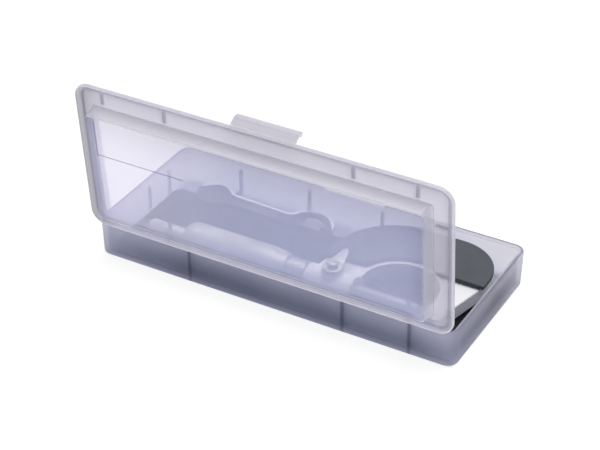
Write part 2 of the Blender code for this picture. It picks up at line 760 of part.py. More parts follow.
def make_lock(mic, steel, brass):
    """Lever lock on the frame's boss: shoe on the spindle, stud, bush, and lever hub."""
    turn_axis = empty("lock_axis", (LOCK_X, 0.0, 0.0), parent=mic)
    shoe = SPINDLE_R + RUNNING_GAP
    add_object("lock_shoe", upright(turned(rod(shoe, shoe + SHOE_T, STUD_R, GAP), 24)), turn_axis, brass)
    pad = BOSS_R + LOCK_PAD_RISE
    bush = tube(pad + GAP, pad + GAP + BUSH_T, STUD_R + RUNNING_GAP, BUSH_R, GAP / 2)
    add_object("lock_bush", upright(turned(bush)), turn_axis, steel)
    hub = pad + 2 * GAP + BUSH_T
    hub_top = hub + HUB_T
    head = hub_top + LEVER_RISE + GAP
    stud = [
        (shoe + SHOE_T + GAP, 0.0),
        (shoe + SHOE_T + GAP, STUD_R),
        (head, STUD_R),
        (head, STUD_HEAD_R),
        (head + STUD_HEAD_T * 0.6, STUD_HEAD_R),
        (head + STUD_HEAD_T, STUD_HEAD_R * 0.7),
        (head + STUD_HEAD_T, 0.0),
    ]
    add_object("lock_stud", upright(turned(stud, 24)), turn_axis, steel)
    body = tube(hub, hub_top, STUD_R + RUNNING_GAP, HUB_R, GAP)
    lever = add_object("lock_lever", upright(turned(body)), turn_axis, steel)
    combine(lever, make_lever_arm(turn_axis, hub, hub_top), "UNION")


def make_lever_arm(turn_axis, hub, hub_top):
    """Tapered arm from the hub's side, rising to its rounded tip."""
    root_y = (STUD_R + RUNNING_GAP + HUB_R) / 2
    rings = []
    for share, width in ((0.0, 1.0), (0.35, 1.0), (0.8, 0.86), (0.94, 0.66), (1.0, 0.3)):
        y = root_y + (LEVER_REACH - root_y) * share
        half = LEVER_WIDTH * width / 2
        low = hub + GAP + LEVER_RISE * share
        high = low + LEVER_T if share else hub_top - GAP
        rings.append([(-half, y, low), (half, y, low), (half, y, high), (-half, y, high)])
    return add_object("lever_arm", loft(rings), turn_axis)


# Hook spanner, modelled about its eye with the handle along X

def spanner_outline():
    """Counter-clockwise: lower handle edge, heel, hook throat, pin, outer hook, handle, eye."""
    half = HANDLE_WIDTH / 2
    hook = SPANNER_PITCH
    eye_rise = half + EYE_FILLET
    eye_run = math.sqrt((EYE_R + EYE_FILLET) ** 2 - eye_rise ** 2)
    eye_turn = math.atan2(eye_rise, eye_run)
    hook_rise = half + HOOK_FILLET
    hook_run = math.sqrt((HOOK_R + HOOK_FILLET) ** 2 - hook_rise ** 2)
    hook_turn = math.pi - math.atan2(hook_rise, hook_run)
    quarter = math.pi / 2
    points = arc(eye_run, -eye_rise, EYE_FILLET, math.pi - eye_turn, quarter, 5)
    points += arc(hook, 0.0, HOOK_THROAT_R, HOOK_HEEL_ANGLE, HOOK_PIN_ANGLE, 18)
    pin_r = HOOK_THROAT_R - HOOK_PIN
    points += arc(hook, 0.0, pin_r, HOOK_PIN_ANGLE, HOOK_TIP_ANGLE, 1)
    points += arc(hook, 0.0, HOOK_R, HOOK_TIP_ANGLE, hook_turn, 20)
    points += arc(hook - hook_run, hook_rise, HOOK_FILLET, hook_turn - math.pi, -quarter, 4)
    points += arc(eye_run, eye_rise, EYE_FILLET, -quarter, eye_turn - math.pi, 5)
    points += arc(0.0, 0.0, EYE_R, eye_turn, 2 * math.pi - eye_turn, 24)[1:-1]
    return points


def make_spanner(finish):
    """Flat spanner on the liner, its hook against the back ribs."""
    x = MIC_X + PLATE_LEFT - SPANNER_TO_PLATE - HOOK_R - SPANNER_PITCH
    y = CASE_Y - BASE_DRAFT - BASE_WALL - RIB_DEPTH - 2 * GAP - HOOK_R
    lift = SPANNER_PITCH * math.sin(-SPANNER_TURN)
    place = (x, y + lift, LINER_TOP + GAP)
    body = plate_solid(spanner_outline(), 0.0, SPANNER_T, SPANNER_EDGE)
    spanner = add_object("hook_spanner", body, None, finish, place)
    spanner.rotation_euler = (0.0, 0.0, SPANNER_TURN)
    hole = upright(turned(rod(-GAP, SPANNER_T + GAP, EYE_HOLE_R, GAP / 2), 20))
    cutter = add_object("spanner_eye_hole", hole, None, None, place)
    combine(spanner, cutter, "DIFFERENCE")


def main():
    clear_scene()
    frosted = material("frosted polypropylene", (0.78, 0.78, 0.84), 0.45)
    foam = material("black foam", (0.02, 0.02, 0.025), 0.95)
    steel = material("satin chromed steel", (0.78, 0.78, 0.77), 0.28, 1.0)
    enamel = material("light enamelled frame", (0.80, 0.80, 0.80), 0.40)
    plastic = material("dark insulating plate", (0.085, 0.095, 0.11), 0.55)
    blackened = material("blackened steel", (0.09, 0.09, 0.11), 0.40, 0.6)
    brass = material("brass", (0.70, 0.52, 0.25), 0.35, 1.0)
    make_base(frosted)
    lid_pivot = empty("lid_hinge_axis", (0.0, HINGE_Y, HINGE_Z), (LID_OPEN, 0.0, 0.0))
    make_lid(lid_pivot, frosted)
    make_hinge(frosted)
    make_latch(lid_pivot, frosted)
    make_liner(foam)
    mic = empty("measuring_axis", (MIC_X, MIC_Y, MIC_Z))
    make_frame(mic, enamel)
    make_plates(mic, plastic)
    make_measuring_line(mic, steel, blackened)
    make_thimble(mic, steel)
    make_ratchet(mic, steel, blackened)
    make_lock(mic, steel, brass)
    make_spanner(blackened)


main()
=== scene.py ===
"""Looks of the micrometer case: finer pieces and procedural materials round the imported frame.

Lengths are in millimetres, in the CAD's frame, and become metres when a mesh is made.
"""
import math

import bmesh
import bpy
from mathutils import Matrix, Vector


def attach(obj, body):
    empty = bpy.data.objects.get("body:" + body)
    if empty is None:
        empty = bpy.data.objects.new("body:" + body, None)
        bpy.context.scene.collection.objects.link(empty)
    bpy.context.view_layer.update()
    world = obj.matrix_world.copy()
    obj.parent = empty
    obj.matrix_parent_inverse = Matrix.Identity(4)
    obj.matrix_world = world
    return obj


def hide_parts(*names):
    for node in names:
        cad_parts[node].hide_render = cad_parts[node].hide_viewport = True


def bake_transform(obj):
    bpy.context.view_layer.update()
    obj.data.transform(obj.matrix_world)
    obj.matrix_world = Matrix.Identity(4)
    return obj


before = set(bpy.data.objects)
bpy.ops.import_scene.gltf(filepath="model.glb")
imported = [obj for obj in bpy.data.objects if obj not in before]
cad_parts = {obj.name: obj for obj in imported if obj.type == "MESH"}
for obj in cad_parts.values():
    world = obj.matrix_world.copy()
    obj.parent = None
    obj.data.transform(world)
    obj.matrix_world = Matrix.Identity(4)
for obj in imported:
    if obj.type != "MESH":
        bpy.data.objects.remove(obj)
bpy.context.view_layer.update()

MM = 0.001
QUARTER = math.pi / 2

# Fits and places repeated from the CAD source
GAP = 0.3
CASE_X = 80.0
CASE_Y = 33.45
RIM_Z = 16.3
CORNER_R = 6.4
BASE_CORNER_R = 5.0
RIM_WIDTH = 2.4
RIM_LAND = 1.4
RIM_STEP = 0.8
BASE_WALL = 1.9
BASE_FLOOR = 1.6
BASE_DRAFT = 0.4
FOOT_R = 1.4
RIB_WIDTH = 1.4
RIB_DEPTH = 1.2
RIB_TOP = RIM_Z - 2.2
BACK_RIB_X = (-50.5, -17.2, 17.0)
FRONT_RIB_X = (-36.0, 32.5, 61.0)
LEFT_RIB_Y = (0.6, 15.6)
FOOTED_RIBS = 2
FOOT_WIDTH = 1.0
HINGE_Y = -34.15
HINGE_Z = 16.45
LID_OPEN = math.radians(95.3)
LID_SEAT = 0.3
FLANGE_TOP = 2.0
FLANGE_T = 1.2
LID_WALL = 1.4
WINDOW_TOP = 8.2
WINDOW_INSET = 8.0
WINDOW_DRAFT = 0.6
GUSSET_WIDTH = 1.4
GUSSET_REACH = 7.6
FRONT_GUSSET_REACH = 10.7
BACK_GUSSET_X = (-68.0, -40.0, 40.0, 65.6)
FRONT_GUSSET_X = (-42.8, 61.6)
SIDE_GUSSET_Y = (-6.2, 16.0)
LATCH_X = 2.6
LATCH_WIDTH = 27.8
LATCH_T = 0.9
LATCH_STAND = 0.7
LATCH_RAMP = 2.4
LATCH_DROP = 5.5
CATCH_T = 0.8
LINER_LOW = 1.9
LINER_TOP = 4.5
LINER_ROOM = 5.0
LINER_SHORT = 9.5
MIC = Vector((45.6, -18.65, 9.9))
THROAT_R = 15.7
THROAT_Y = 7.6
FRAME_HALF = 3.0
BOSS_END = -35.9
BOSS_R = 5.9
SLEEVE_R = 6.0
SLEEVE_FRONT = -36.2
THIMBLE_FRONT = -44.7
THIMBLE_BACK = -92.2
THIMBLE_R = 7.6
THIMBLE_BORE = 6.3
RATCHET_R = 3.4
LOCK_X = -25.1

# Photograph's camera
CAMERA_PLACE = (290.3, -523.4, 415.1)
CAMERA_AZIMUTH = math.radians(-29.39)
CAMERA_DROP = math.radians(33.42)
CAMERA_LENS = 108.0


# Outlines

def arc(cx, cy, radius, start, end, steps):
    """Points along an arc, both ends included."""
    turn = [start + (end - start) * i / steps for i in range(steps + 1)]
    return [(cx + radius * math.cos(a), cy + radius * math.sin(a)) for a in turn]


def filleted(corners, steps=5, closed=False):
    """Round each (u, v, radius) corner of a line into an arc."""
    line = []
    count = len(corners)
    for i, (u, v, radius) in enumerate(corners):
        here = Vector((u, v))
        if radius == 0 or (not closed and i in (0, count - 1)):
            line.append((u, v))
            continue
        before = (Vector(corners[i - 1][:2]) - here).normalized()
        after = (Vector(corners[(i + 1) % count][:2]) - here).normalized()
        half = before.angle(after) / 2
        centre = here + (before + after).normalized() * radius / math.sin(half)
        first = here + before * radius / math.tan(half) - centre
        last = here + after * radius / math.tan(half) - centre
        start = math.atan2(first.y, first.x)
        sweep = (math.atan2(last.y, last.x) - start + math.pi) % (2 * math.pi) - math.pi
        line += arc(centre.x, centre.y, radius, start, start + sweep, steps)
    return line


def rounded_rectangle(half_x, half_y, radius, steps=12):
    ring = []
    for number, (sx, sy) in enumerate(((1, 1), (-1, 1), (-1, -1), (1, -1))):
        cx = sx * (half_x - radius)
        cy = sy * (half_y - radius)
        ring += arc(cx, cy, radius, number * QUARTER, (number + 1) * QUARTER, steps)
    return ring


def case_ring(inset, z, corner=CORNER_R):
    """The case's outline at its rim, drawn in by an inset, at a height."""
    radius = max(corner - inset, corner / 4)
    return [(x, y, z) for x, y in rounded_rectangle(CASE_X - inset, CASE_Y - inset, radius)]


def drawn_in(outline, distance):
    """A counter-clockwise outline moved in along its corner bisectors, by one distance or one each."""
    moved = []
    count = len(outline)
    distances = distance if isinstance(distance, list) else [distance] * count
    for i, point in enumerate(outline):
        here = Vector(point)
        before = (here - Vector(outline[i - 1])).normalized()
        after = (Vector(outline[(i + 1) % count]) - here).normalized()
        left = Vector((-before.y - after.y, before.x + after.x)).normalized()
        spread = max(left.dot(Vector((-before.y, before.x))), 0.5)
        moved.append(tuple(here + left * distances[i] / spread))
    return moved


# Mesh building

def loft(rings, bands=None, caps=0):
    """Skin closed rings of equal length one to the next, and cap both ends.

    bands names the finish of each band between two rings, and caps that of both ends.
    """
    bm = bmesh.new()
    rows = [[bm.verts.new(point) for point in ring] for ring in rings]
    count = len(rows[0])
    for number, (low, high) in enumerate(zip(rows, rows[1:])):
        for i in range(count):
            j = (i + 1) % count
            face = bm.faces.new((low[i], low[j], high[j], high[i]))
            if bands:
                face.material_index = bands[number]
    bm.faces.new(list(reversed(rows[0]))).material_index = caps
    bm.faces.new(rows[-1]).material_index = caps
    return bm


def banded(profile, zone):
    """The finish of each stretch of a profile, from the place of its middle."""
    middles = [((a + c) / 2, (b + d) / 2) for (a, b), (c, d) in zip(profile, profile[1:])]
    return [zone(inset, z) for inset, z in middles]


def slab(outline, z0, z1, edge, steps=3, edge_finish=0):
    """Stand an outline between two heights, with its edges rounded and given their own finish."""
    levels = []
    for i in range(steps + 1):
        a = QUARTER * i / steps
        levels.append((edge * (1 - math.sin(a)), z0 + edge * (1 - math.cos(a))))
    for i in range(steps, -1, -1):
        a = QUARTER * i / steps
        levels.append((edge * (1 - math.sin(a)), z1 - edge * (1 - math.cos(a))))
    rings = []
    for inset, z in levels:
        ring = drawn_in(outline, inset) if inset > 1e-9 else outline
        rings.append([(x, y, z) for x, y in ring])
    return loft(rings, [edge_finish] * (len(rings) - 1))


def spun(profile, steps, radius_at=None):
    """Turn a closed (x, radius) outline about X; radius_at may shape the radius round the turn."""
    bm = bmesh.new()
    rows = []
    for number, (x, radius) in enumerate(profile):
        if radius == 0.0:
            rows.append([bm.verts.new((x, 0.0, 0.0))])
            continue
        row = []
        for i in range(steps):
            a = 2 * math.pi * (i + 0.5) / steps
            r = radius_at(number, x, radius, a) if radius_at else radius
            row.append(bm.verts.new((x, r * math.cos(a), r * math.sin(a))))
        rows.append(row)
    for one, other in zip(rows, rows[1:] + rows[:1]):
        if len(one) == 1 and len(other) == 1:
            continue
        for i in range(steps):
            j = (i + 1) % steps
            if len(one) == 1:
                bm.faces.new((one[0], other[j], other[i]))
            elif len(other) == 1:
                bm.faces.new((one[i], one[j], other[0]))
            else:
                bm.faces.new((one[i], one[j], other[j], other[i]))
    return bm


def bar(x0, x1, radius, edge, steps=3):
    """Outline of a solid round bar with rounded ends."""
    corners = [(x0, 0.0, 0), (x0, radius, edge), (x1, radius, edge), (x1, 0.0, 0)]
    return filleted(corners, steps)


def pipe(x0, x1, inner, outer, edge, steps=3):
    """Outline of a sleeve with its outer corners rounded."""
    return filleted([(x0, inner, 0), (x0, outer, edge), (x1, outer, edge), (x1, inner, 0)], steps)


def along_x(profile, x0, x1, edge=0.0):
    """Run a closed counter-clockwise (y, z) outline from x0 to x1, with its ends rounded."""
    places = [(0.0, x0), (0.0, x1)]
    if edge:
        places = [(edge, x0), (edge * 0.3, x0 + edge * 0.3), (0.0, x0 + edge)]
        places += [(0.0, x1 - edge), (edge * 0.3, x1 - edge * 0.3), (edge, x1)]
    rings = []
    for inset, x in places:
        ring = drawn_in(profile, inset) if inset else profile
        rings.append([(x, y, z) for y, z in ring])
    return loft(rings)


def moved(bm, place, turn=0.0, axis="X"):
    bmesh.ops.rotate(bm, verts=bm.verts, matrix=Matrix.Rotation(turn, 3, axis))
    bmesh.ops.translate(bm, verts=bm.verts, vec=place)
    return bm


def upright(bm):
    """Stand a shape that was turned about X on end, so that its axis is Z."""
    bmesh.ops.rotate(bm, verts=bm.verts, matrix=Matrix.Rotation(-QUARTER, 3, "Y"))
    return bm


def opened(bm):
    """Take a lid shape from closed, with heights above the rim, to the lid's rest pose."""
    bmesh.ops.translate(bm, verts=bm.verts, vec=(0.0, -HINGE_Y, RIM_Z - HINGE_Z))
    return moved(bm, (0.0, HINGE_Y, HINGE_Z), LID_OPEN)


def joined(*parts):
    """Several meshes in one."""
    whole = bmesh.new()
    for part in parts:
        mesh = bpy.data.meshes.new("part")
        part.to_mesh(mesh)
        part.free()
        whole.from_mesh(mesh)
        bpy.data.meshes.remove(mesh)
    return whole


def as_object(name, bm, sharp=32.0, finishes=()):
    """Turn the shape into an object in metres, with outward faces and soft shading."""
    bmesh.ops.recalc_face_normals(bm, faces=bm.faces)
    bmesh.ops.scale(bm, vec=(MM, MM, MM), verts=bm.verts)
    mesh = bpy.data.meshes.new(name)
    bm.to_mesh(mesh)
    bm.free()
    mesh.shade_smooth()
    mesh.set_sharp_from_angle(angle=math.radians(sharp))
    for finish in finishes:
        mesh.materials.append(finish)
    made = bpy.data.objects.new(name, mesh)
    bpy.context.scene.collection.objects.link(made)
    return made


def combined(target, tool, operation, solver="EXACT", sharp=32.0):
    """Apply a boolean with another object, which is then removed."""
    step = target.modifiers.new("cut", "BOOLEAN")
    step.operation = operation
    step.solver = solver
    step.material_mode = "TRANSFER"
    step.object = tool
    graph = bpy.context.evaluated_depsgraph_get()
    result = bpy.data.meshes.new_from_object(target.evaluated_get(graph))
    target.modifiers.clear()
    old = target.data
    target.data = result
    bpy.data.meshes.remove(old)
    bpy.data.objects.remove(tool)
    result.name = target.name
    result.shade_smooth()
    result.set_sharp_from_angle(angle=math.radians(sharp))
    return target


def dressed(made, body, finishes, slot, *nodes):
    """Give a piece its materials and its body, and hide the CAD nodes that it stands for; slot is not used.
    """
    if not any(made.data.materials):
        made.data.materials.clear()
        for finish in finishes:
            made.data.materials.append(finish)
    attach(made, body)
    if nodes:
        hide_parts(*nodes)
    return made


def evened(made):
    """Keep flat faces flat beside the small rounds."""
    step = made.modifiers.new("even shading", "WEIGHTED_NORMAL")
    step.keep_sharp = True
    step.weight = 80
    return made


# Material building

class Shading:
    """A short way to write a node tree."""

    def __init__(self, name):
        self.material = bpy.data.materials.new(name)
        self.material.use_nodes = True
        self.tree = self.material.node_tree
        self.tree.nodes.clear()
        self.place = self.add("ShaderNodeTexCoord").outputs["Object"]

    def add(self, kind, **settings):
        made = self.tree.nodes.new(kind)
        for key, value in settings.items():
            setattr(made, key, value)
        return made

    def put(self, socket, value):
        if isinstance(value, bpy.types.NodeSocket):
            self.tree.links.new(value, socket)
        else:
            socket.default_value = value

    def along(self, axis):
        """One of the object's coordinates."""
        made = self.add("ShaderNodeSeparateXYZ")
        self.put(made.inputs["Vector"], self.place)
        return made.outputs[axis]

    def stretched(self, scale, turn=(0.0, 0.0, 0.0)):
        """The object's coordinates, scaled along each axis."""
        made = self.add("ShaderNodeMapping")
        self.put(made.inputs["Vector"], self.place)
        made.inputs["Scale"].default_value = scale
        made.inputs["Rotation"].default_value = turn
        return made.outputs["Vector"]

    def noise(self, scale, detail=3.0, roughness=0.55, vector=None):
        made = self.add("ShaderNodeTexNoise")
        self.put(made.inputs["Vector"], vector or self.place)
        made.inputs["Scale"].default_value = scale
        made.inputs["Detail"].default_value = detail
        made.inputs["Roughness"].default_value = roughness
        return made.outputs["Fac"]

    def cells(self, scale, vector=None, feature="F1"):
        made = self.add("ShaderNodeTexVoronoi", feature=feature)
        self.put(made.inputs["Vector"], vector or self.place)
        made.inputs["Scale"].default_value = scale
        return made.outputs["Distance"]

    def spread(self, value, low, high, to_low, to_high):
        """Map one range of a number to another, held at its ends."""
        made = self.add("ShaderNodeMapRange")
        self.put(made.inputs["Value"], value)
        for name, number in zip(("From Min", "From Max", "To Min", "To Max"), (low, high, to_low, to_high)):
            made.inputs[name].default_value = number
        return made.outputs["Result"]

    def sum(self, operation, one, other):
        made = self.add("ShaderNodeMath", operation=operation)
        self.put(made.inputs[0], one)
        self.put(made.inputs[1], other)
        return made.outputs["Value"]

    def colours(self, share, low, high):
        """A colour between two, by a share."""
        made = self.add("ShaderNodeMix", data_type="RGBA")
        self.put(made.inputs["Factor"], share)
        for socket, colour in ((made.inputs[6], low), (made.inputs[7], high)):
            self.put(socket, colour if isinstance(colour, bpy.types.NodeSocket) else (*colour, 1.0))
        return made.outputs[2]

    def bump(self, height, strength, distance):
        made = self.add("ShaderNodeBump")
        self.put(made.inputs["Height"], height)
        made.inputs["Strength"].default_value = strength
        made.inputs["Distance"].default_value = distance
        return made.outputs["Normal"]

    def principled(self, **values):
        made = self.add("ShaderNodeBsdfPrincipled")
        for name, value in values.items():
            self.put(made.inputs[name.replace("_", " ")], value)
        return made.outputs["BSDF"]

    def mixed(self, share, one, other):
        made = self.add("ShaderNodeMixShader")
        self.put(made.inputs["Fac"], share)
        self.put(made.inputs[1], one)
        self.put(made.inputs[2], other)
        return made.outputs["Shader"]

    def done(self, shader):
        out = self.add("ShaderNodeOutputMaterial")
        self.put(out.inputs["Surface"], shader)
        return self.material


def rib_shade(s):
    """Share of light that the ribs behind the hinge-side wall keep from showing through it."""
    near = s.spread(s.along("Y"), -0.0325, -0.0305, 1.0, 0.0)
    total = None
    for x in FRONT_RIB_X:
        off = s.sum("ABSOLUTE", s.sum("SUBTRACT", s.along("X"), x * MM), 0.0)
        line = s.spread(off, 0.0004, 0.0011, 1.0, 0.0)
        total = s.sum("MAXIMUM", total, line) if total else line
    return s.sum("MULTIPLY", total, near)


# Painted light: the lighter tint that the window lets through at its left end.
LEFT_END_LIGHT = (0.77, 0.77, 1.0)


def plastic(name, skin, through, glow, solid, clear, rough, grain, shaded_through=None, haze=0.0, left=1.0, right=0.0):
    """Frosted moulded plastic: a cloudy body that lets light through, and a fine grain.

    skin and through are the colours of the light that it throws back and lets through, glow is the
    share that it lets through, solid how much of what lies behind each face is hidden, and clear
    the tint of what still shows. shaded_through is a darker colour let through towards the hinge side,
    the foot and the middle, painted shade, with the ribs behind the hinge-side wall painted on it as
    darker lines. haze hides more away from the left end, where the tint let through is lighter,
    painted light; right hides more at the right end, and left dims the left end, painted shade.
    """
    s = Shading(name)
    flow = s.noise(14.0, 4.0, 0.6, s.stretched((0.35, 1.0, 1.0)))
    cloud = s.noise(55.0, 3.0)
    blend = s.sum("ADD", s.sum("MULTIPLY", flow, 0.6), s.sum("MULTIPLY", cloud, 0.4))
    share = s.spread(blend, 0.1, 0.9, -0.5, 1.5)
    normal = s.bump(s.noise(2600.0, 2.0), grain, 0.00004)
    surface = s.colours(share, [0.95 * c for c in skin], skin)
    tint = s.colours(share, [0.95 * c for c in through], through)
    # Painted shade: the left end is dimmed.
    if left < 1.0:
        end = s.spread(s.along("X"), -0.075, -0.068, 1.0, 0.0)
        surface = s.colours(end, surface, [left * c for c in skin])
        tint = s.colours(end, tint, [left * c for c in through])
    front = s.principled(
        Base_Color=surface,
        Roughness=s.spread(s.noise(420.0, 2.0), 0.3, 0.7, rough - 0.05, rough + 0.07),
        Normal=normal,
        IOR=1.48,
    )
    # Painted shade: the colour let through darkens towards the hinge side, the foot and the middle, and over
    # the ribs behind the hinge-side wall.
    if shaded_through:
        far = s.spread(s.along("Y"), -CASE_Y * MM, CASE_Y * MM, 0.0, 0.58)
        high = s.spread(s.along("Z"), 0.0, RIM_Z * MM, 0.0, 0.36)
        ends = s.spread(s.sum("ABSOLUTE", s.along("X"), 0.0), 0.050, 0.080, 0.0, 0.28)
        share = s.sum("ADD", s.sum("ADD", far, high), s.sum("ADD", ends, s.sum("MULTIPLY", share, 0.06)))
        tint = s.colours(share, shaded_through, through)
        tint = s.colours(rib_shade(s), tint, [0.55 * c for c in shaded_through])
    # Painted light: the tint let through grows lighter towards the left end.
    if haze:
        ramp = s.spread(s.along("X"), -0.055, -0.005, 0.0, 1.0)
        tint = s.colours(ramp, LEFT_END_LIGHT, tint)
    back = s.add("ShaderNodeBsdfTranslucent")
    s.put(back.inputs["Color"], tint)
    s.put(back.inputs["Normal"], normal)
    body = s.mixed(glow, front, back.outputs["BSDF"])
    open_part = s.add("ShaderNodeBsdfTransparent")
    open_part.inputs["Color"].default_value = (*clear, 1.0)
    hidden = s.spread(blend, 0.1, 0.9, solid - 0.04, solid + 0.04)
    if haze:
        hidden = s.sum("ADD", hidden, s.sum("MULTIPLY", ramp, haze))
    if right:
        hidden = s.sum("ADD", hidden, s.spread(s.along("X"), 0.0625, 0.0680, 0.0, right))
    return s.done(s.mixed(hidden, open_part.outputs["BSDF"], body))


def foam_finish():
    """Black closed-cell foam: small cells of uneven size over a soft unevenness."""
    s = Shading("black foam")
    cell = s.cells(2300.0)
    wide = s.noise(160.0, 3.0)
    height = s.sum("ADD", s.sum("MULTIPLY", cell, 0.8), s.sum("MULTIPLY", wide, 0.5))
    tint = s.colours(s.spread(height, 0.15, 0.9, 0.0, 1.0), (0.004, 0.004, 0.006), (0.020, 0.020, 0.026))
    return s.done(s.principled(
        Base_Color=tint,
        Roughness=s.spread(cell, 0.1, 0.8, 0.80, 0.95),
        Normal=s.bump(height, 0.8, 0.00025),
        IOR=1.40,
        Sheen_Weight=0.08,
        Sheen_Roughness=0.6,
    ))


def enamel_finish(name, low, high):
    """Satin paint over a casting: faint orange peel and slightly uneven tone."""
    s = Shading(name)
    peel = s.noise(1100.0, 2.0)
    tone = s.noise(60.0, 3.0)
    tint = s.colours(s.spread(tone, 0.3, 0.7, 0.0, 1.0), low, high)
    return s.done(s.principled(
        Base_Color=tint,
        Roughness=s.spread(tone, 0.3, 0.7, 0.34, 0.44),
        Normal=s.bump(peel, 0.35, 0.00006),
        IOR=1.5,
        Coat_Weight=0.10,
        Coat_Roughness=0.22,
    ))


def plate_finish():
    """Dark moulded insulating plate with a fine spark-eroded grain."""
    s = Shading("dark insulating plate")
    grain = s.noise(2400.0, 2.0)
    tone = s.noise(90.0, 3.0)
    tint = s.colours(s.spread(tone, 0.3, 0.7, 0.0, 1.0), (0.050, 0.057, 0.070), (0.066, 0.074, 0.088))
    return s.done(s.principled(
        Base_Color=tint,
        Roughness=s.spread(grain, 0.3, 0.7, 0.55, 0.65),
        Specular_IOR_Level=0.3,
        Normal=s.bump(grain, 0.35, 0.00004),
        IOR=1.5,
    ))


def metal_finish(name, low, high, rough, lines, line_scale):
    """Machined metal: fine lines round the work and slightly uneven polish."""
    s = Shading(name)
    turning = s.noise(line_scale, 2.0, 0.6, s.stretched((1.0, 0.05, 0.05)))
    polish = s.noise(130.0, 3.0)
    tint = s.colours(s.spread(polish, 0.3, 0.7, 0.0, 1.0), low, high)
    return s.done(s.principled(
        Base_Color=tint,
        Metallic=1.0,
        Roughness=s.spread(turning, 0.25, 0.75, rough - 0.05, rough + 0.08),
        Normal=s.bump(turning, lines, 0.00003),
    ))


def blackened_finish():
    """Blackened steel plate: mottled oxide, paler where handling has rubbed it."""
    s = Shading("blackened steel")
    mottle = s.noise(220.0, 4.0, 0.65)
    rubbed = s.spread(s.noise(48.0, 3.0), 0.52, 0.72, 0.0, 1.0)
    share = s.sum("ADD", s.sum("MULTIPLY", mottle, 0.7), s.sum("MULTIPLY", rubbed, 0.3))
    tint = s.colours(s.spread(share, 0.25, 0.8, 0.0, 1.0), (0.045, 0.046, 0.055), (0.115, 0.117, 0.130))
    return s.done(s.principled(
        Base_Color=tint,
        Metallic=0.75,
        Roughness=s.spread(mottle, 0.3, 0.7, 0.32, 0.48),
        Normal=s.bump(mottle, 0.25, 0.00005),
    ))


def ink_finish():
    """Black paint rubbed into the engraved scale."""
    s = Shading("scale ink")
    tone = s.noise(900.0, 2.0)
    tint = s.colours(tone, (0.008, 0.008, 0.010), (0.030, 0.030, 0.034))
    return s.done(s.principled(Base_Color=tint, Roughness=0.6))


# Frosted base plastic, with painted shade towards the hinge side, the foot and the middle.
FROSTED = plastic(
    "frosted plastic", (0.34, 0.36, 0.48), (0.80, 0.785, 0.83), 0.80, 0.70, (0.93, 0.94, 0.98), 0.42, 0.35,
    shaded_through=(0.45, 0.468, 0.63),
)
# The lid border carries painted shade at its left end.
BORDER = plastic(
    "frosted lid border", (0.42, 0.43, 0.52), (0.78, 0.76, 0.86), 0.70, 0.56, (0.97, 0.96, 0.98), 0.38, 0.30,
    left=0.62,
)
TAB = plastic(
    "latch plastic", (0.62, 0.61, 0.69), (0.98, 0.96, 1.0), 0.70, 0.62, (0.97, 0.96, 0.98), 0.36, 0.30,
)
# The window carries painted light at its left end.
WINDOW = plastic(
    "hazy lid window", (0.43, 0.47, 0.75), (0.65, 0.685, 0.92), 0.80, 0.35, (1.0, 0.982, 0.965), 0.20, 0.06,
    haze=0.07,
)
# Lit copy of the plastic: painted light on the window's steep wall.
LIT_WALL = plastic(
    "steep plastic wall with painted light", (0.94, 0.91, 0.98), (0.68, 0.66, 0.76), 0.40, 0.78, (0.96, 0.96, 0.98), 0.34, 0.25,
)
# Shaded copy of the plastic: painted shade on the bump's left end, the base's left ribs and the window's
# bead.
SHADED_END = plastic(
    "steep plastic end with painted shade", (0.38, 0.40, 0.54), (0.44, 0.46, 0.60), 0.50, 0.72, (0.94, 0.95, 0.98), 0.34, 0.25,
)
# Darker copy of the plastic for the base's rim land, ribs and feet and the lid's lip: partly the thicker
# plastic, partly painted shade.
THICK_SHADED = plastic(
    "thick plastic with painted shade", (0.26, 0.27, 0.34), (0.30, 0.31, 0.40), 0.55, 0.82, (0.95, 0.95, 0.98), 0.40, 0.30,
)
# Lit copy of the plastic: painted light on the bump's right end.
LIT_RIGHT_END = plastic(
    "steep right end with painted light", (0.86, 0.87, 0.97), (0.92, 0.93, 1.0), 0.60, 0.66, (0.96, 0.96, 0.98), 0.34, 0.25,
)
# Darker copy of the plastic for the lid's gussets: partly the thicker plastic, partly painted shade.
SHADED_GUSSET = plastic(
    "gusset with painted shade", (0.20, 0.20, 0.26), (0.24, 0.24, 0.31), 0.55, 0.80, (0.95, 0.95, 0.98), 0.40, 0.30,
)
CLEAR = plastic(
    "polished clear wall", (0.40, 0.41, 0.50), (0.56, 0.57, 0.69), 0.80, 0.09, (1.0, 1.0, 1.0), 0.18, 0.04,
    right=0.5,
)
# Painted highlight on the lid's outer edges and the window's top edge.
EDGE_HIGHLIGHT = plastic(
    "plastic edge with painted highlight", (0.96, 0.96, 1.0), (0.97, 0.97, 1.0), 0.85, 0.90, (1.0, 1.0, 1.0), 0.25, 0.10,
)
FOAM = foam_finish()
ENAMEL = enamel_finish("light frame enamel", (0.83, 0.83, 0.86), (0.90, 0.90, 0.93))
# Painted shade inside the frame's throat.
THROAT_SHADE = enamel_finish("enamel with painted throat shade", (0.30, 0.30, 0.33), (0.36, 0.36, 0.39))
PLATE = plate_finish()
CHROME = metal_finish("satin chrome", (0.33, 0.33, 0.33), (0.40, 0.40, 0.395), 0.46, 0.25, 5200.0)
STEEL = metal_finish("ground steel", (0.15, 0.15, 0.155), (0.20, 0.20, 0.20), 0.46, 0.30, 7000.0)
# Darker copy of the satin chrome: painted shade on the sleeve.
SHADED_BARREL = metal_finish("satin chrome with painted shade", (0.20, 0.20, 0.205), (0.26, 0.26, 0.26), 0.36, 0.25, 5200.0)
BRASS = metal_finish("turned brass", (0.60, 0.42, 0.18), (0.70, 0.52, 0.25), 0.28, 0.25, 5200.0)
BLACK = blackened_finish()
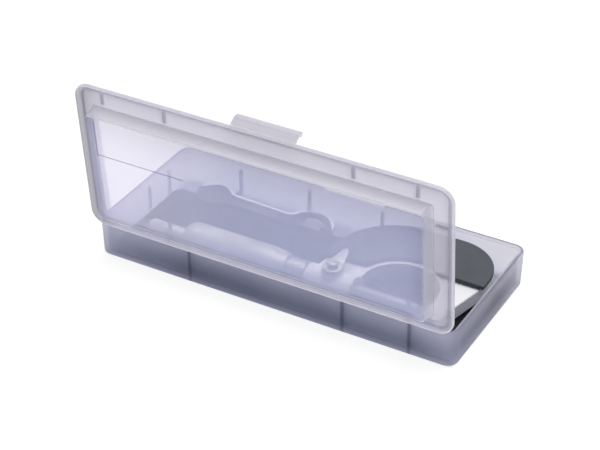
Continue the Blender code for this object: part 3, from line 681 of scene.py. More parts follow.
# Worn bright steel, with a painted highlight along the spanner's back edge and in its hole.
WEAR_AND_HIGHLIGHT = metal_finish("worn edge with painted highlight", (0.74, 0.74, 0.75), (0.88, 0.88, 0.88), 0.34, 0.20, 3000.0)
INK = ink_finish()


# Case base

def wall_inset(z):
    """How far the drafted outside wall stands in from the rim at a height."""
    return BASE_DRAFT * (1 - z / RIM_Z)


def base_zone(inset, z):
    """Finish at a place on the base's outline: wall, rim land in the darker plastic with painted shade, or
    the rim's outer edge in the lighter border plastic, painted light.
    """
    if z > RIM_Z - 0.1 and 0.25 < inset < 1.1:
        return 1
    if z > RIM_Z - 0.6 and inset <= 0.25:
        return 2
    return 0


def make_base():
    inside = BASE_DRAFT + BASE_WALL
    profile = filleted([
        (8.0, 0.35, 0),
        (6.2, 0.35, 0.15),
        (5.6, 0.0, 0.15),
        (wall_inset(0.0), 0.0, FOOT_R),
        (0.0, RIM_Z, 0.45),
        (RIM_LAND, RIM_Z, 0.20),
        (RIM_LAND, RIM_Z - RIM_STEP, 0.15),
        (RIM_WIDTH, RIM_Z - RIM_STEP, 0.25),
        (inside, BASE_FLOOR, 1.5),
        (8.0, BASE_FLOOR, 0),
    ], 6)
    rings = [case_ring(inset, z, BASE_CORNER_R) for inset, z in profile]
    shell = loft(rings, banded(profile, base_zone))
    base = as_object("case_base", shell, finishes=(FROSTED, THICK_SHADED, BORDER))
    ribs, left_ribs = base_ribs(inside)
    # Ribs and feet take the darker plastic and the left ribs the shaded copy, both partly painted shade.
    combined(base, as_object("ribs", joined(*ribs), finishes=(THICK_SHADED,)), "UNION")
    combined(base, as_object("left_ribs", joined(*left_ribs), finishes=(SHADED_END,)), "UNION")
    feet = joined(*[rib_foot(x) for x in BACK_RIB_X[:FOOTED_RIBS]])
    combined(base, as_object("feet", feet, finishes=(THICK_SHADED,)), "UNION")
    combined(base, as_object("catch", base_catch(), finishes=(FROSTED,)), "UNION")
    combined(base, as_object("relief", latch_relief()), "DIFFERENCE")
    dressed(base, "base", [FROSTED], "frosted_plastic", "base_shell")
    evened(base)


def rib(reach, z0, z1):
    """A rib standing off a wall along +Y from the wall's middle, with rounded edges."""
    half = RIB_WIDTH / 2
    ring = filleted([(half, -0.6, 0), (half, reach, 0.45), (-half, reach, 0.45), (-half, -0.6, 0)], 4)
    low = [(x, y, z0) for x, y in ring]
    neck = [(x, y, z1 - 0.7) for x, y in ring]
    top = [(x * 0.86, min(y, reach - 0.55), z1) for x, y in ring]
    return loft([low, neck, top])


def base_ribs(inside):
    """Ribs that stiffen the walls and keep the liner and the spanner clear of them."""
    ribs = []
    reach = RIB_DEPTH
    places = [(x, CASE_Y - inside, math.pi) for x in BACK_RIB_X]
    places += [(x, inside - CASE_Y, 0.0) for x in FRONT_RIB_X]
    left = [(inside - CASE_X, y, -QUARTER) for y in LEFT_RIB_Y]
    for x, y, turn in places + left:
        ribs.append(moved(rib(reach, BASE_FLOOR - GAP, RIB_TOP), (x, y, 0.0), turn, "Z"))
    return ribs[:len(places)], ribs[len(places):]


def rib_foot(x):
    """Foot of a back rib, level with the liner, that carries the spanner's back half."""
    half = FOOT_WIDTH / 2
    low = BASE_FLOOR - GAP
    near = CASE_Y - LINER_ROOM - LINER_SHORT + 0.8
    far = CASE_Y - RIM_WIDTH * 0.75
    profile = filleted([(half, low, 0), (half, LINER_TOP, 0.2), (-half, LINER_TOP, 0.2), (-half, low, 0)], 3)
    return loft([[(x + u, y, z) for u, z in profile] for y in (near, far)])


def latch_ends(room=0.0):
    half = LATCH_WIDTH / 2 + room
    return LATCH_X - half, LATCH_X + half


def base_catch():
    """Ridge on the outside of the back wall that the latch snaps under."""
    z1 = RIM_Z - LATCH_RAMP - GAP
    z0 = z1 - CATCH_T
    wall = CASE_Y - wall_inset(z0)
    profile = filleted([
        (wall - BASE_WALL / 2, z0, 0),
        (wall + 0.5, z0, 0.12),
        (wall + 0.5, z0 + CATCH_T * 0.4, 0.12),
        (wall - BASE_WALL / 2, z1, 0),
    ], 3, True)
    return along_x(profile, *latch_ends(-CATCH_T))


def latch_relief():
    """Bevel on the rim's back edge that the latch's ramp passes over."""
    slope = (LATCH_STAND + LATCH_T) / LATCH_RAMP
    set_back = LATCH_T + GAP * math.hypot(1.0, slope) + GAP * slope
    edge = CASE_Y - set_back
    profile = [
        (edge - GAP * slope, RIM_Z + GAP),
        (CASE_Y + LATCH_STAND, RIM_Z - (set_back + LATCH_STAND) / slope),
        (CASE_Y + LATCH_STAND, RIM_Z + GAP),
    ]
    return along_x(profile, *latch_ends(GAP))


# Case lid

def lid_zone(inset, z):
    """Finish at a place on the lid's outline: border, window, steep wall with painted light, the lip in
    darker plastic with painted shade, or the outer edge with a painted highlight.
    """
    if inset < 0.4 and z > LID_SEAT:
        return 4
    if z < LID_SEAT - 0.1:
        return 3
    if inset < WINDOW_INSET - 0.3:
        return 0
    if inset < WINDOW_INSET + WINDOW_DRAFT + 0.3 and z < WINDOW_TOP - 0.15:
        return 2
    return 1


BORDER_FOOT = 2.5
LID_FINISHES = (BORDER, WINDOW, LIT_WALL, THICK_SHADED, EDGE_HIGHLIGHT, SHADED_END, CLEAR, LIT_RIGHT_END)


def make_lid():
    """Flat border, raised window with its own drafted wall, and the lip that enters the base's rim."""
    inner = WINDOW_INSET + LID_WALL
    under = FLANGE_TOP - FLANGE_T
    lip_out = RIM_LAND + GAP
    lip_in = lip_out + 1.0
    wall_top = WINDOW_INSET + WINDOW_DRAFT
    profile = filleted([
        (wall_top + 2.4, WINDOW_TOP, 0),
        (wall_top, WINDOW_TOP, 0.9),
        (WINDOW_INSET, FLANGE_TOP, 0.5),
        (BORDER_FOOT, FLANGE_TOP, 0),
        (0.0, FLANGE_TOP, 0.55),
        (0.0, LID_SEAT, 0.20),
        (lip_out, LID_SEAT, 0.15),
        (lip_out, -0.4, 0.20),
        (lip_in, -0.4, 0.20),
        (lip_in, under, 0.25),
        (inner, under, 0.35),
        (inner + WINDOW_DRAFT, WINDOW_TOP - LID_WALL, 0.6),
        (wall_top + 2.4, WINDOW_TOP - LID_WALL, 0),
    ], 6)
    rings = [case_ring(inset, z) for inset, z in profile]
    shell = loft(rings, banded(profile, lid_zone), 1)
    shell.normal_update()
    for face in shell.faces:
        face.material_index = wall_finish(face)
    lid = as_object("case_lid", opened(shell), finishes=LID_FINISHES)
    combined(lid, as_object("gussets", opened(joined(*lid_gussets())), finishes=(SHADED_GUSSET,)), "UNION")
    dressed(lid, "lid", [BORDER, WINDOW], "frosted_plastic", "lid_shell")
    evened(lid)


def wall_finish(face):
    """Finish of a lid face: the bump's left end with painted shade and its right end with painted light, its
    polished hinge side, and the painted highlight at its top edge.
    """
    finish = face.material_index
    lean = [abs(share) for share in face.normal]
    middle = face.calc_center_median()
    if finish in (0, 3) and middle.y < WINDOW_INSET - CASE_Y and abs(middle.x) < CASE_X / 2:
        return 6 if finish == 0 and middle.y > BORDER_FOOT - CASE_Y else 0
    if finish == 4 and middle.x < -CASE_X / 2 and lean[0] > 0.5:
        return 0
    if finish not in (1, 2) or lean[2] > 0.97:
        return finish
    if lean[0] > 0.6:
        if middle.x > 0:
            return 7
        return 5 if finish == 2 else 6
    if middle.y < 0 and lean[1] > 0.5:
        return 7 if middle.x > CASE_X / 2 else 6
    if middle.z > WINDOW_TOP - 1.0 and lean[1] > 0.25 and lean[2] > 0.35:
        return 4
    return finish


def make_window_bead():
    """Fine raised line moulded on the window near its left end: down, then along."""
    x0, x1 = -67.7, -29.0
    y0, y1 = 7.4, 23.2
    half = 0.10
    outline = [
        (x0 - half, y0 - half), (x1, y0 - half), (x1, y0 + half),
        (x0 + half, y0 + half), (x0 + half, y1), (x0 - half, y1),
    ]
    bead = slab(outline, WINDOW_TOP - 0.1, WINDOW_TOP + 0.05, 0.04, 2)
    made = as_object("window_bead", opened(bead))
    # The bead takes the shaded copy of the plastic, painted shade.
    dressed(made, "lid", [SHADED_END], "frosted_plastic")


def lid_gussets():
    """Small ribs under the border, from the window's wall to the lip, with a rounded lower edge."""
    low = RIM_LAND + GAP + 0.5
    high = GUSSET_REACH
    half = GUSSET_WIDTH / 2
    top = FLANGE_TOP - FLANGE_T / 2
    profile = filleted([
        (-half, top, 0), (-half, LID_SEAT, 0.3), (half, LID_SEAT, 0.3), (half, top, 0),
    ], 3)
    runs = [((x, CASE_Y - high), (x, CASE_Y - low)) for x in BACK_GUSSET_X]
    runs += [((x, low - CASE_Y), (x, FRONT_GUSSET_REACH - CASE_Y)) for x in FRONT_GUSSET_X]
    runs += [((CASE_X - high, y), (CASE_X - low, y)) for y in SIDE_GUSSET_Y]
    made = []
    for (x0, y0), (x1, y1) in runs:
        upward = x0 == x1
        rings = []
        for x, y in ((x0, y0), (x1, y1)):
            rings.append([(x + u, y, z) if upward else (x, y + u, z) for u, z in profile])
        made.append(loft(rings))
    return made


def make_hinge():
    """Thin web from the base's wall round the fold to the lid's edge."""
    half = CASE_X - CORNER_R
    outer = [(0.62, -1.1), (0.35, -0.75), (0.02, -0.42), (-0.16, 0.0)]
    outer += [(-0.26, 0.34), (-0.36, 0.62), (-0.62, 0.80)]
    inner = [(-0.20, 0.80), (-0.02, 0.55), (0.10, 0.28), (0.18, 0.0), (0.34, -0.24), (0.72, -0.42)]
    profile = [(HINGE_Y + y, HINGE_Z + z) for y, z in reversed(outer + inner)]
    web = as_object("hinge_web", along_x(profile, -half, half, 0.1), 50.0)
    web.data.materials.append(FROSTED)
    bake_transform(web)
    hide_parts("living_hinge")


def make_latch():
    """Snap latch below the lid's back edge: ramp, finger tab with a turned-out tip, and hook."""
    inner = LATCH_STAND
    outer = LATCH_STAND + LATCH_T
    hook_top = -LATCH_RAMP - CATCH_T - 2 * GAP
    profile = filleted([
        (0.0, 0.0, 0),
        (-LATCH_T, 0.0, 0),
        (inner, -LATCH_RAMP, 0.5),
        (inner, hook_top, 0.10),
        (inner - 0.6, hook_top, 0.12),
        (inner - 0.6, hook_top - 0.3, 0.15),
        (inner, hook_top - 1.0, 0.3),
        (inner + 0.15, -LATCH_DROP, 0.25),
        (outer, -LATCH_DROP, 0.35),
        (outer, -LATCH_RAMP, 0.6),
    ], 4, True)
    ring = [(y + CASE_Y, z) for y, z in profile]
    tab = as_object("latch_tab_moulding", opened(along_x(ring, *latch_ends(), 0.3)), 40.0)
    dressed(tab, "latch", [TAB], "frosted_plastic", "latch_tab")


# Foam liner

def make_liner():
    """Die-cut sheet on the floor, with a slot that the barrel and thimble lie in."""
    half_x = CASE_X - LINER_ROOM
    front = LINER_ROOM - CASE_Y
    back = CASE_Y - LINER_ROOM - LINER_SHORT
    outline = filleted([
        (half_x, back, 4.0), (-half_x, back, 4.0), (-half_x, front, 4.0), (half_x, front, 4.0),
    ], 8, True)
    liner = as_object("foam_sheet", slab(outline, LINER_LOW, LINER_TOP, 0.45))
    depth = MIC.z - LINER_TOP
    half = math.sqrt(THIMBLE_R ** 2 - depth ** 2) + 0.9
    x0 = MIC.x - 109.0 + 0.9
    x1 = MIC.x - THROAT_R + 0.9
    hole = [(x + (x0 + x1) / 2, y + MIC.y) for x, y in rounded_rectangle((x1 - x0) / 2, half, 1.2, 5)]
    cut = loft([[(x, y, z) for x, y in hole] for z in (LINER_LOW - 1.0, LINER_TOP + 1.0)])
    combined(liner, as_object("slot", cut), "DIFFERENCE")
    dressed(liner, "base", [FOAM], "black_foam", "foam_liner")


# Micrometer frame and plates, about the throat's middle with the measuring axis along X

ANVIL_SHOULDER = (9.9, 19.4)
SPINDLE_SHOULDER = (-6.1, 27.9)
FRAME_BACK = 45.5
PLATE_OVERHANG = 0.4
PLATE_RIGHT = 29.7


def back_curve(grow, start_y):
    """Outer edge of the frame from the anvil side over the back to the spindle side."""
    right = ANVIL_SHOULDER[1] + grow
    left = SPINDLE_SHOULDER[1] + grow
    left_y = FRAME_BACK - SPINDLE_SHOULDER[1]
    end = math.pi + math.asin(min(max((left_y - start_y) / left, 0.0), 1.0))
    points = arc(ANVIL_SHOULDER[0], FRAME_BACK - ANVIL_SHOULDER[1], right, 0.0, QUARTER, 24)
    return points + arc(SPINDLE_SHOULDER[0], left_y, left, QUARTER, end, 32)[1:]


def frame_outline():
    tip = THROAT_R + 6.9
    low = -BOSS_R / 2
    points = [(tip - 1.73, -5.2), (tip - 0.6, -4.6), (tip, -3.1)]
    points += back_curve(0.0, 13.1)
    points += [(BOSS_END + 1.2, BOSS_R), (BOSS_END + 1.2, low)]
    points += [(-THROAT_R - 0.6, low), (-THROAT_R, low + 0.6)]
    points += arc(0.0, THROAT_Y, THROAT_R, math.pi, 0.0, 48)
    points += [(THROAT_R, -4.2), (THROAT_R + 0.6, -5.2)]
    return points


def make_frame():
    body = as_object("frame_forging", slab(frame_outline(), -FRAME_HALF, FRAME_HALF, 0.6))
    arm_end = THROAT_R + 6.6 + 0.3 + 1.2
    pad_top = BOSS_R + 0.2
    lock = (LOCK_X, 0.0, 0.0)
    steps = (
        (spun(bar(BOSS_END, -THROAT_R + 0.3, BOSS_R, 0.25), 72), "UNION"),
        (spun(bar(THROAT_R - 0.3, arm_end, 4.4, 0.6), 64), "UNION"),
        (moved(upright(spun(bar(0.0, pad_top, 4.6, 0.5), 64)), lock), "UNION"),
        (spun(bar(BOSS_END - 0.3, 0.0, 3.5, 0.1), 64), "DIFFERENCE"),
        (spun(bar(BOSS_END - 0.3, BOSS_END + 5.2, 5.3, 0.1), 64), "DIFFERENCE"),
        (spun(bar(0.0, THROAT_R + 6.6, 3.5, 0.1), 64), "DIFFERENCE"),
        (moved(upright(spun(bar(3.2, pad_top + 0.3, 1.9, 0.1), 40)), lock), "DIFFERENCE"),
    )
    for number, (shape, operation) in enumerate(steps):
        combined(body, as_object(f"frame_step_{number}", shape), operation, "MANIFOLD")
    body.data.materials.clear()
    for finish in (ENAMEL, THROAT_SHADE):
        body.data.materials.append(finish)
    # Painted shade: faces of the throat's inner wall take the darker enamel.
    for face in body.data.polygons:
        off = (face.center / MM - Vector((0.0, THROAT_Y, 0.0))).xy
        inside = off.y > 0.0 and off.length < THROAT_R + 0.2 and abs(face.normal.z) < 0.5
        face.material_index = 1 if inside else 0
    body.data.transform(Matrix.Translation(MIC * MM))
    dressed(body, "micrometer", [ENAMEL], "frame_enamel", "micrometer_frame")
    evened(body)


def plate_outline():
    """Counter-clockwise crescent over the frame's back, cut straight on both arms."""
    inner = THROAT_R + 1.5
    right_end = math.asin((20.5 - THROAT_Y) / inner)
    left_end = math.asin((13.1 - THROAT_Y) / inner)
    left = SPINDLE_SHOULDER[1] + PLATE_OVERHANG
    left_low = 13.1 - left * math.sin(math.radians(9.0)) / 2
    points = [(PLATE_RIGHT - 0.4, 20.5), (PLATE_RIGHT, 20.9)]
    points += back_curve(PLATE_OVERHANG, left_low)
    points += arc(0.0, THROAT_Y, inner, math.pi - left_end, right_end, 40)
    return points


def make_plates():
    for name, side, node in (("plate_upper", 1.0, "upper_plate"), ("plate_lower", -1.0, "lower_plate")):
        low, high = sorted((side * (FRAME_HALF + GAP), side * (FRAME_HALF + GAP + 1.8)))
        made = as_object(name, moved(slab(plate_outline(), low, high, 0.4), MIC))
        dressed(made, "micrometer", [PLATE], "dark_plate", node)
        evened(made)


# Measuring line, thimble, ratchet and lock

def make_measuring_line():
    tip = THROAT_R - 3.0
    anvil = filleted([
        (tip, 0.0, 0), (tip, 3.0, 0.1), (tip + 1.2, 3.0, 0.05), (tip + 1.2, 3.2, 0.05),
        (THROAT_R + 6.3, 3.2, 0.3), (THROAT_R + 6.3, 0.0, 0),
    ], 3)
    made = as_object("anvil_pin", moved(spun(anvil, 64), MIC))
    dressed(made, "micrometer", [STEEL], "ground_steel", "anvil")
    seat = THIMBLE_BACK + 5.3
    face = THROAT_R - 3.6
    spindle = filleted([
        (THIMBLE_BACK + 0.3, 0.0, 0), (THIMBLE_BACK + 0.3, 2.1, 0.2), (seat, 2.1, 0.1), (seat, 3.2, 0.2),
        (face - 1.2, 3.2, 0.05), (face - 1.2, 3.0, 0.05), (face, 3.0, 0.1), (face, 0.0, 0),
    ], 3)
    made = as_object("spindle_rod", moved(spun(spindle, 64), MIC))
    dressed(made, "spindle", [STEEL], "ground_steel", "spindle")
    # The sleeve takes the darker copy of the satin chrome, painted shade.
    sleeve = pipe(SLEEVE_FRONT - 43.4, SLEEVE_FRONT, SLEEVE_R - 0.7, SLEEVE_R, 0.12)
    made = as_object("scale_sleeve", moved(spun(sleeve, 96), MIC))
    dressed(made, "sleeve", [SHADED_BARREL], "satin_chrome", "outer_sleeve")


KNURL_STARTS = 44
KNURL_DEPTH = 0.22
KNURL_FROM = -83.0
KNURL_TO = -63.0


def knurl_height(x, a):
    """Share of full height in a diamond knurl, at a place along and round the thimble."""
    u = KNURL_STARTS * a / (2 * math.pi)
    w = KNURL_STARTS * x / (2 * math.pi * THIMBLE_R)
    one = abs(2 * ((u + w) % 1.0) - 1)
    other = abs(2 * ((u - w) % 1.0) - 1)
    return min(1.0, 1.7 * (1 - max(one, other)))


def thimble_profile():
    """Front lip, bevel, plain band, knurled band between two grooves, shoulder, neck and bore."""
    outer = filleted([
        (THIMBLE_FRONT, THIMBLE_BORE, 0),
        (THIMBLE_FRONT, THIMBLE_BORE + 0.3, 0.08),
        (THIMBLE_FRONT - 7.2, THIMBLE_R, 0.5),
        (KNURL_TO + 1.0, THIMBLE_R, 0.15),
        (KNURL_TO + 0.8, THIMBLE_R - 0.25, 0.1),
        (KNURL_TO + 0.3, THIMBLE_R - 0.25, 0.1),
        (KNURL_TO, THIMBLE_R, 0),
    ], 3)
    rows = 110
    band = [(KNURL_TO + (KNURL_FROM - KNURL_TO) * i / rows, THIMBLE_R) for i in range(1, rows)]
    back = [
        (KNURL_FROM, THIMBLE_R),
        (KNURL_FROM - 0.3, THIMBLE_R - 0.25),
        (KNURL_FROM - 0.8, THIMBLE_R - 0.25),
        (KNURL_FROM - 1.0, THIMBLE_R),
    ]
    shoulder = []
    for i in range(15):
        a = QUARTER * i / 14
        x = THIMBLE_BACK + 6.2 * (1 - math.sin(a))
        shoulder.append((x, 4.0 + (THIMBLE_R - 4.0) * math.cos(a)))
    wall = THIMBLE_BACK + 5.0
    inside = [(THIMBLE_BACK, 2.4), (wall, 2.4), (wall, THIMBLE_BORE)]
    first = len(outer)
    return outer + band + back + shoulder + inside, range(first, first + len(band))


def make_thimble():
    profile, knurled = thimble_profile()

    def shaped(number, x, radius, a):
        if number not in knurled:
            return radius
        return radius - KNURL_DEPTH * (1 - knurl_height(x, a))

    made = as_object("thimble_grip", moved(spun(profile, 6 * KNURL_STARTS, shaped), MIC))
    dressed(made, "thimble", [CHROME], "satin_chrome", "thimble")


def on_round(points, x_of, radius_of, angle):
    """Lay flat (along, across) points on a round piece: along runs with X, across round the turn."""
    laid = []
    for along, across in points:
        radius = radius_of(along)
        a = angle + across / radius
        laid.append((x_of + along, radius * math.cos(a), radius * math.sin(a)))
    return laid


def mark(x0, x1, width, radius_of, angle, proud):
    """One engraved line as a thin inlaid strip."""
    half = width / 2
    rings = []
    for lift in (-0.05, proud):
        corners = [(x0, -half), (x1, -half), (x1, half), (x0, half)]
        rings.append(on_round(corners, 0.0, lambda x, lift=lift: radius_of(x) + lift, angle))
    return loft(rings)


def digit_mesh(text, height):
    """A number as a flat mesh with its middle at the origin, reading along +Y of the flat."""
    curve = bpy.data.curves.new("digit", "FONT")
    curve.body = text
    curve.size = height
    curve.align_x = "CENTER"
    curve.align_y = "CENTER"
    curve.resolution_u = 3
    holder = bpy.data.objects.new("digit", curve)
    bpy.context.scene.collection.objects.link(holder)
    graph = bpy.context.evaluated_depsgraph_get()
    mesh = bpy.data.meshes.new_from_object(holder.evaluated_get(graph))
    bpy.data.objects.remove(holder)
    bpy.data.curves.remove(curve)
    bm = bmesh.new()
    bm.from_mesh(mesh)
    bpy.data.meshes.remove(mesh)
    return bm


def number_on_round(text, height, x, radius_of, angle, proud):
    """A number wrapped on a round piece, upright when its axis lies level and it is read from the side."""
    bm = digit_mesh(text, height)
    faces = bm.faces[:]
    grown = bmesh.ops.extrude_face_region(bm, geom=faces)
    raised = {v for v in grown["geom"] if isinstance(v, bmesh.types.BMVert)}
    for v in bm.verts:
        along, across = v.co.x, v.co.y
        lift = proud if v in raised else -0.05
        radius = radius_of(x + along) + lift
        a = angle - across / radius
        v.co = (x + along, radius * math.cos(a), radius * math.sin(a))
    return bm


def bevel_radius(x):
    """Radius of the thimble's graduated bevel at a place along it."""
    share = min(max((THIMBLE_FRONT - x) / 7.2, 0.0), 1.0)
    return THIMBLE_BORE + 0.3 + (THIMBLE_R - THIMBLE_BORE - 0.3) * share


DATUM = math.radians(130.0)


def make_scales():
    divisions = 50
    strips = []
    for i in range(divisions):
        a = DATUM + 2 * math.pi * i / divisions
        length = 2.9 if i % 5 == 0 else 1.9
        strips.append(mark(THIMBLE_FRONT - 0.15 - length, THIMBLE_FRONT - 0.15, 0.16, bevel_radius, a, 0.02))
        if i % 5 == 0:
            place = THIMBLE_FRONT - 4.7
            strips.append(number_on_round(str(i), 1.9, place, bevel_radius, a, 0.02))
    made = as_object("thimble_scale", moved(joined(*strips), MIC), 20.0)
    dressed(made, "thimble", [INK], "black_steel")
    strips = []

    def level(x):
        return SLEEVE_R

    zero = THIMBLE_FRONT + 0.1
    strips.append(mark(zero - 20.0, SLEEVE_FRONT - 0.8, 0.16, level, DATUM, 0.02))
    for i in range(-4, 24):
        x = zero - i * 0.5
        if i % 2:
            strips.append(mark_round(x, -1.5, -0.1))
        else:
            strips.append(mark_round(x, 0.1, 2.2 if i % 10 == 0 else 1.5))
    strips.append(number_on_round("0", 1.9, zero + 0.1, level, DATUM + 0.55, 0.02))
    made = as_object("sleeve_scale", moved(joined(*strips), MIC), 20.0)
    dressed(made, "sleeve", [INK], "black_steel")


def make_sleeve_face():
    """Painted reflection: a dark band of blackened steel along the top of the bare sleeve, pointed at both
    ends.
    """
    count = 14
    middle = math.radians(94.0)
    x0, x1 = 1.2 - MIC.x, 9.2 - MIC.x
    rings = []
    for lift in (-0.05, 0.03):
        radius = SLEEVE_R + lift
        near = []
        far = []
        for i in range(1, count):
            share = i / count
            x = x0 + (x1 - x0) * share
            half = math.radians(23.0) * math.sin(math.pi * share) ** 0.8
            near.append((x, radius * math.cos(middle + half), radius * math.sin(middle + half)))
            far.append((x, radius * math.cos(middle - half), radius * math.sin(middle - half)))
        ends = [(x, radius * math.cos(middle), radius * math.sin(middle)) for x in (x0, x1)]
        rings.append([ends[0]] + near + [ends[1]] + far[::-1])
    made = as_object("painted_sleeve_reflection", moved(loft(rings), MIC), 60.0)
    dressed(made, "sleeve", [BLACK], "black_steel")


def mark_round(x, across0, across1):
    """A short line round the sleeve from the datum."""
    count = 4
    rings = []
    for lift in (-0.05, 0.02):
        radius = SLEEVE_R + lift
        ring = []
        turns = [DATUM + (across0 + (across1 - across0) * k / count) / SLEEVE_R for k in range(count + 1)]
        ring += [(x - 0.07, radius * math.cos(a), radius * math.sin(a)) for a in turns]
        ring += [(x + 0.07, radius * math.cos(a), radius * math.sin(a)) for a in reversed(turns)]
        rings.append(ring)
    return loft(rings)


def make_ratchet():
    collar = filleted([
        (-99.9, 1.3, 0), (-99.9, RATCHET_R, 0.4), (-96.6, RATCHET_R, 0.15), (-96.3, RATCHET_R - 0.35, 0.1),
        (-95.7, RATCHET_R - 0.35, 0.1), (-95.4, RATCHET_R, 0.15), (-92.5, RATCHET_R, 0.4), (-92.5, 1.3, 0),
    ], 3)
    made = as_object("ratchet_band", moved(spun(collar, 64), MIC))
    dressed(made, "thimble", [CHROME], "satin_chrome", "ratchet_collar")
    flutes = 30
    front, back = -100.2, -109.0
    knob = filleted([
        (back, 0.0, 0), (back, RATCHET_R, 0.7), (back + 1.4, RATCHET_R, 0.1), (back + 1.6, RATCHET_R, 0),
    ], 4)
    smooth = len(knob)
    fluted = [(back + 1.7 + i * 0.95, RATCHET_R) for i in range(7)]
    ends = filleted([
        (front - 1.2, RATCHET_R, 0), (front, RATCHET_R, 0.3), (front, 2.2, 0), (back + 1.4, 2.2, 0), (back + 1.4, 0.0, 0),
    ], 3)

    def shaped(number, x, radius, a):
        if not smooth <= number < smooth + len(fluted):
            return radius
        return radius - 0.26 * (0.5 - 0.5 * math.cos(flutes * a)) ** 1.5

    made = as_object("ratchet_grip", moved(spun(knob + fluted + ends, 8 * flutes, shaped), MIC))
    dressed(made, "ratchet", [CHROME], "satin_chrome", "ratchet_knob")


def make_lock():
    """Bush, and a lever whose arm sweeps up to a rounded tip."""
    place = MIC + Vector((LOCK_X, 0.0, 0.0))
    bush = pipe(6.4, 7.0, 1.9, 4.3, 0.15)
    made = as_object("lock_ring", moved(upright(spun(bush, 96)), place))
    dressed(made, "micrometer", [CHROME], "satin_chrome", "lock_bush")
    hub = upright(spun(pipe(7.3, 8.7, 1.9, 4.0, 0.35), 80))
    hub = as_object("lock_handle", moved(joined(hub, lever_arm()), place))
    dressed(hub, "lock", [CHROME], "satin_chrome", "lock_lever")
    stud = filleted([
        (4.7, 0.0, 0), (4.7, 1.6, 0.1), (10.1, 1.6, 0), (10.1, 2.4, 0.1), (10.9, 2.4, 0.35), (10.9, 0.0, 0),
    ], 4)
    head = as_object("lock_screw", moved(upright(spun(stud, 48)), place))
    slot = bmesh.new()
    bmesh.ops.create_cube(slot, size=1.0, matrix=Matrix.Diagonal((6.0, 0.55, 0.7, 1.0)))
    combined(head, as_object("slot", moved(slot, place + Vector((0.0, 0.0, 10.95)), 0.0)), "DIFFERENCE")
    dressed(head, "lock", [CHROME], "satin_chrome", "lock_stud")


def lever_arm():
    """Tapered arm with a rounded section, from the hub's side to its tip."""
    rings = []
    reach = 11.8
    root = 2.9
    stations = 14
    for i in range(stations + 1):
        share = i / stations
        y = root + (reach - root) * share
        width = 6.4 - 3.9 * share
        tip = max(0.0, (share - 0.82) / 0.18)
        width *= math.sqrt(max(1 - tip * tip, 0.12))
        low = 7.6 + 1.1 * share
        high = low + (1.1 if share > 0.2 else 0.8)
        outline = filleted([
            (-width / 2, low, 0.2), (width / 2, low, 0.2),
            (width / 2, high, 0.3), (-width / 2, high, 0.3),
        ], 3, True)
        rings.append([(x, y, z) for x, z in outline])
    return loft(rings)


# Hook spanner

SPANNER_PITCH = 46.3
HOOK_R = 11.0
SPANNER_T = 1.5
HANDLE_HALF = 3.7


def spanner_outline():
    """Counter-clockwise: lower handle edge, heel, hook throat, pin, outer hook, handle, eye."""
    half = HANDLE_HALF
    hook = SPANNER_PITCH
    eye_r, eye_fillet = 8.2, 5.0
    hook_r, throat_r, hook_fillet = HOOK_R, 7.0, 3.0
    eye_rise = half + eye_fillet
    eye_run = math.sqrt((eye_r + eye_fillet) ** 2 - eye_rise ** 2)
    eye_turn = math.atan2(eye_rise, eye_run)
    hook_rise = half + hook_fillet
    hook_run = math.sqrt((hook_r + hook_fillet) ** 2 - hook_rise ** 2)
    hook_turn = math.pi - math.atan2(hook_rise, hook_run)
    tip, pin, heel = math.radians(4.0), math.radians(18.0), math.radians(210.0)
    points = arc(eye_run, -eye_rise, eye_fillet, math.pi - eye_turn, QUARTER, 12)
    points += arc(hook, 0.0, throat_r, heel, pin, 40)
    points += arc(hook, 0.0, throat_r - 1.7, pin, tip, 2)
    points += arc(hook, 0.0, hook_r, tip, hook_turn, 48)
    points += arc(hook - hook_run, hook_rise, hook_fillet, hook_turn - math.pi, -QUARTER, 8)[1:]
    points += arc(eye_run, eye_rise, eye_fillet, -QUARTER, eye_turn - math.pi, 12)
    points += arc(0.0, 0.0, eye_r, eye_turn, 2 * math.pi - eye_turn, 56)[1:-1]
    return points


def worn_widths(outline):
    """Width of the bright land along the outline, worn steel with a painted highlight: only on the back
    edge, fading at its ends.
    """
    widths = []
    count = len(outline)
    for i, (u, v) in enumerate(outline):
        run = Vector(outline[(i + 1) % count]) - Vector(outline[i - 1])
        faces_back = -run.normalized().x
        share = min(max((faces_back - 0.1) / 0.4, 0.0), 1.0) if v > HANDLE_HALF / 2 else 0.0
        widths.append(0.25 + 1.35 * share)
    return widths


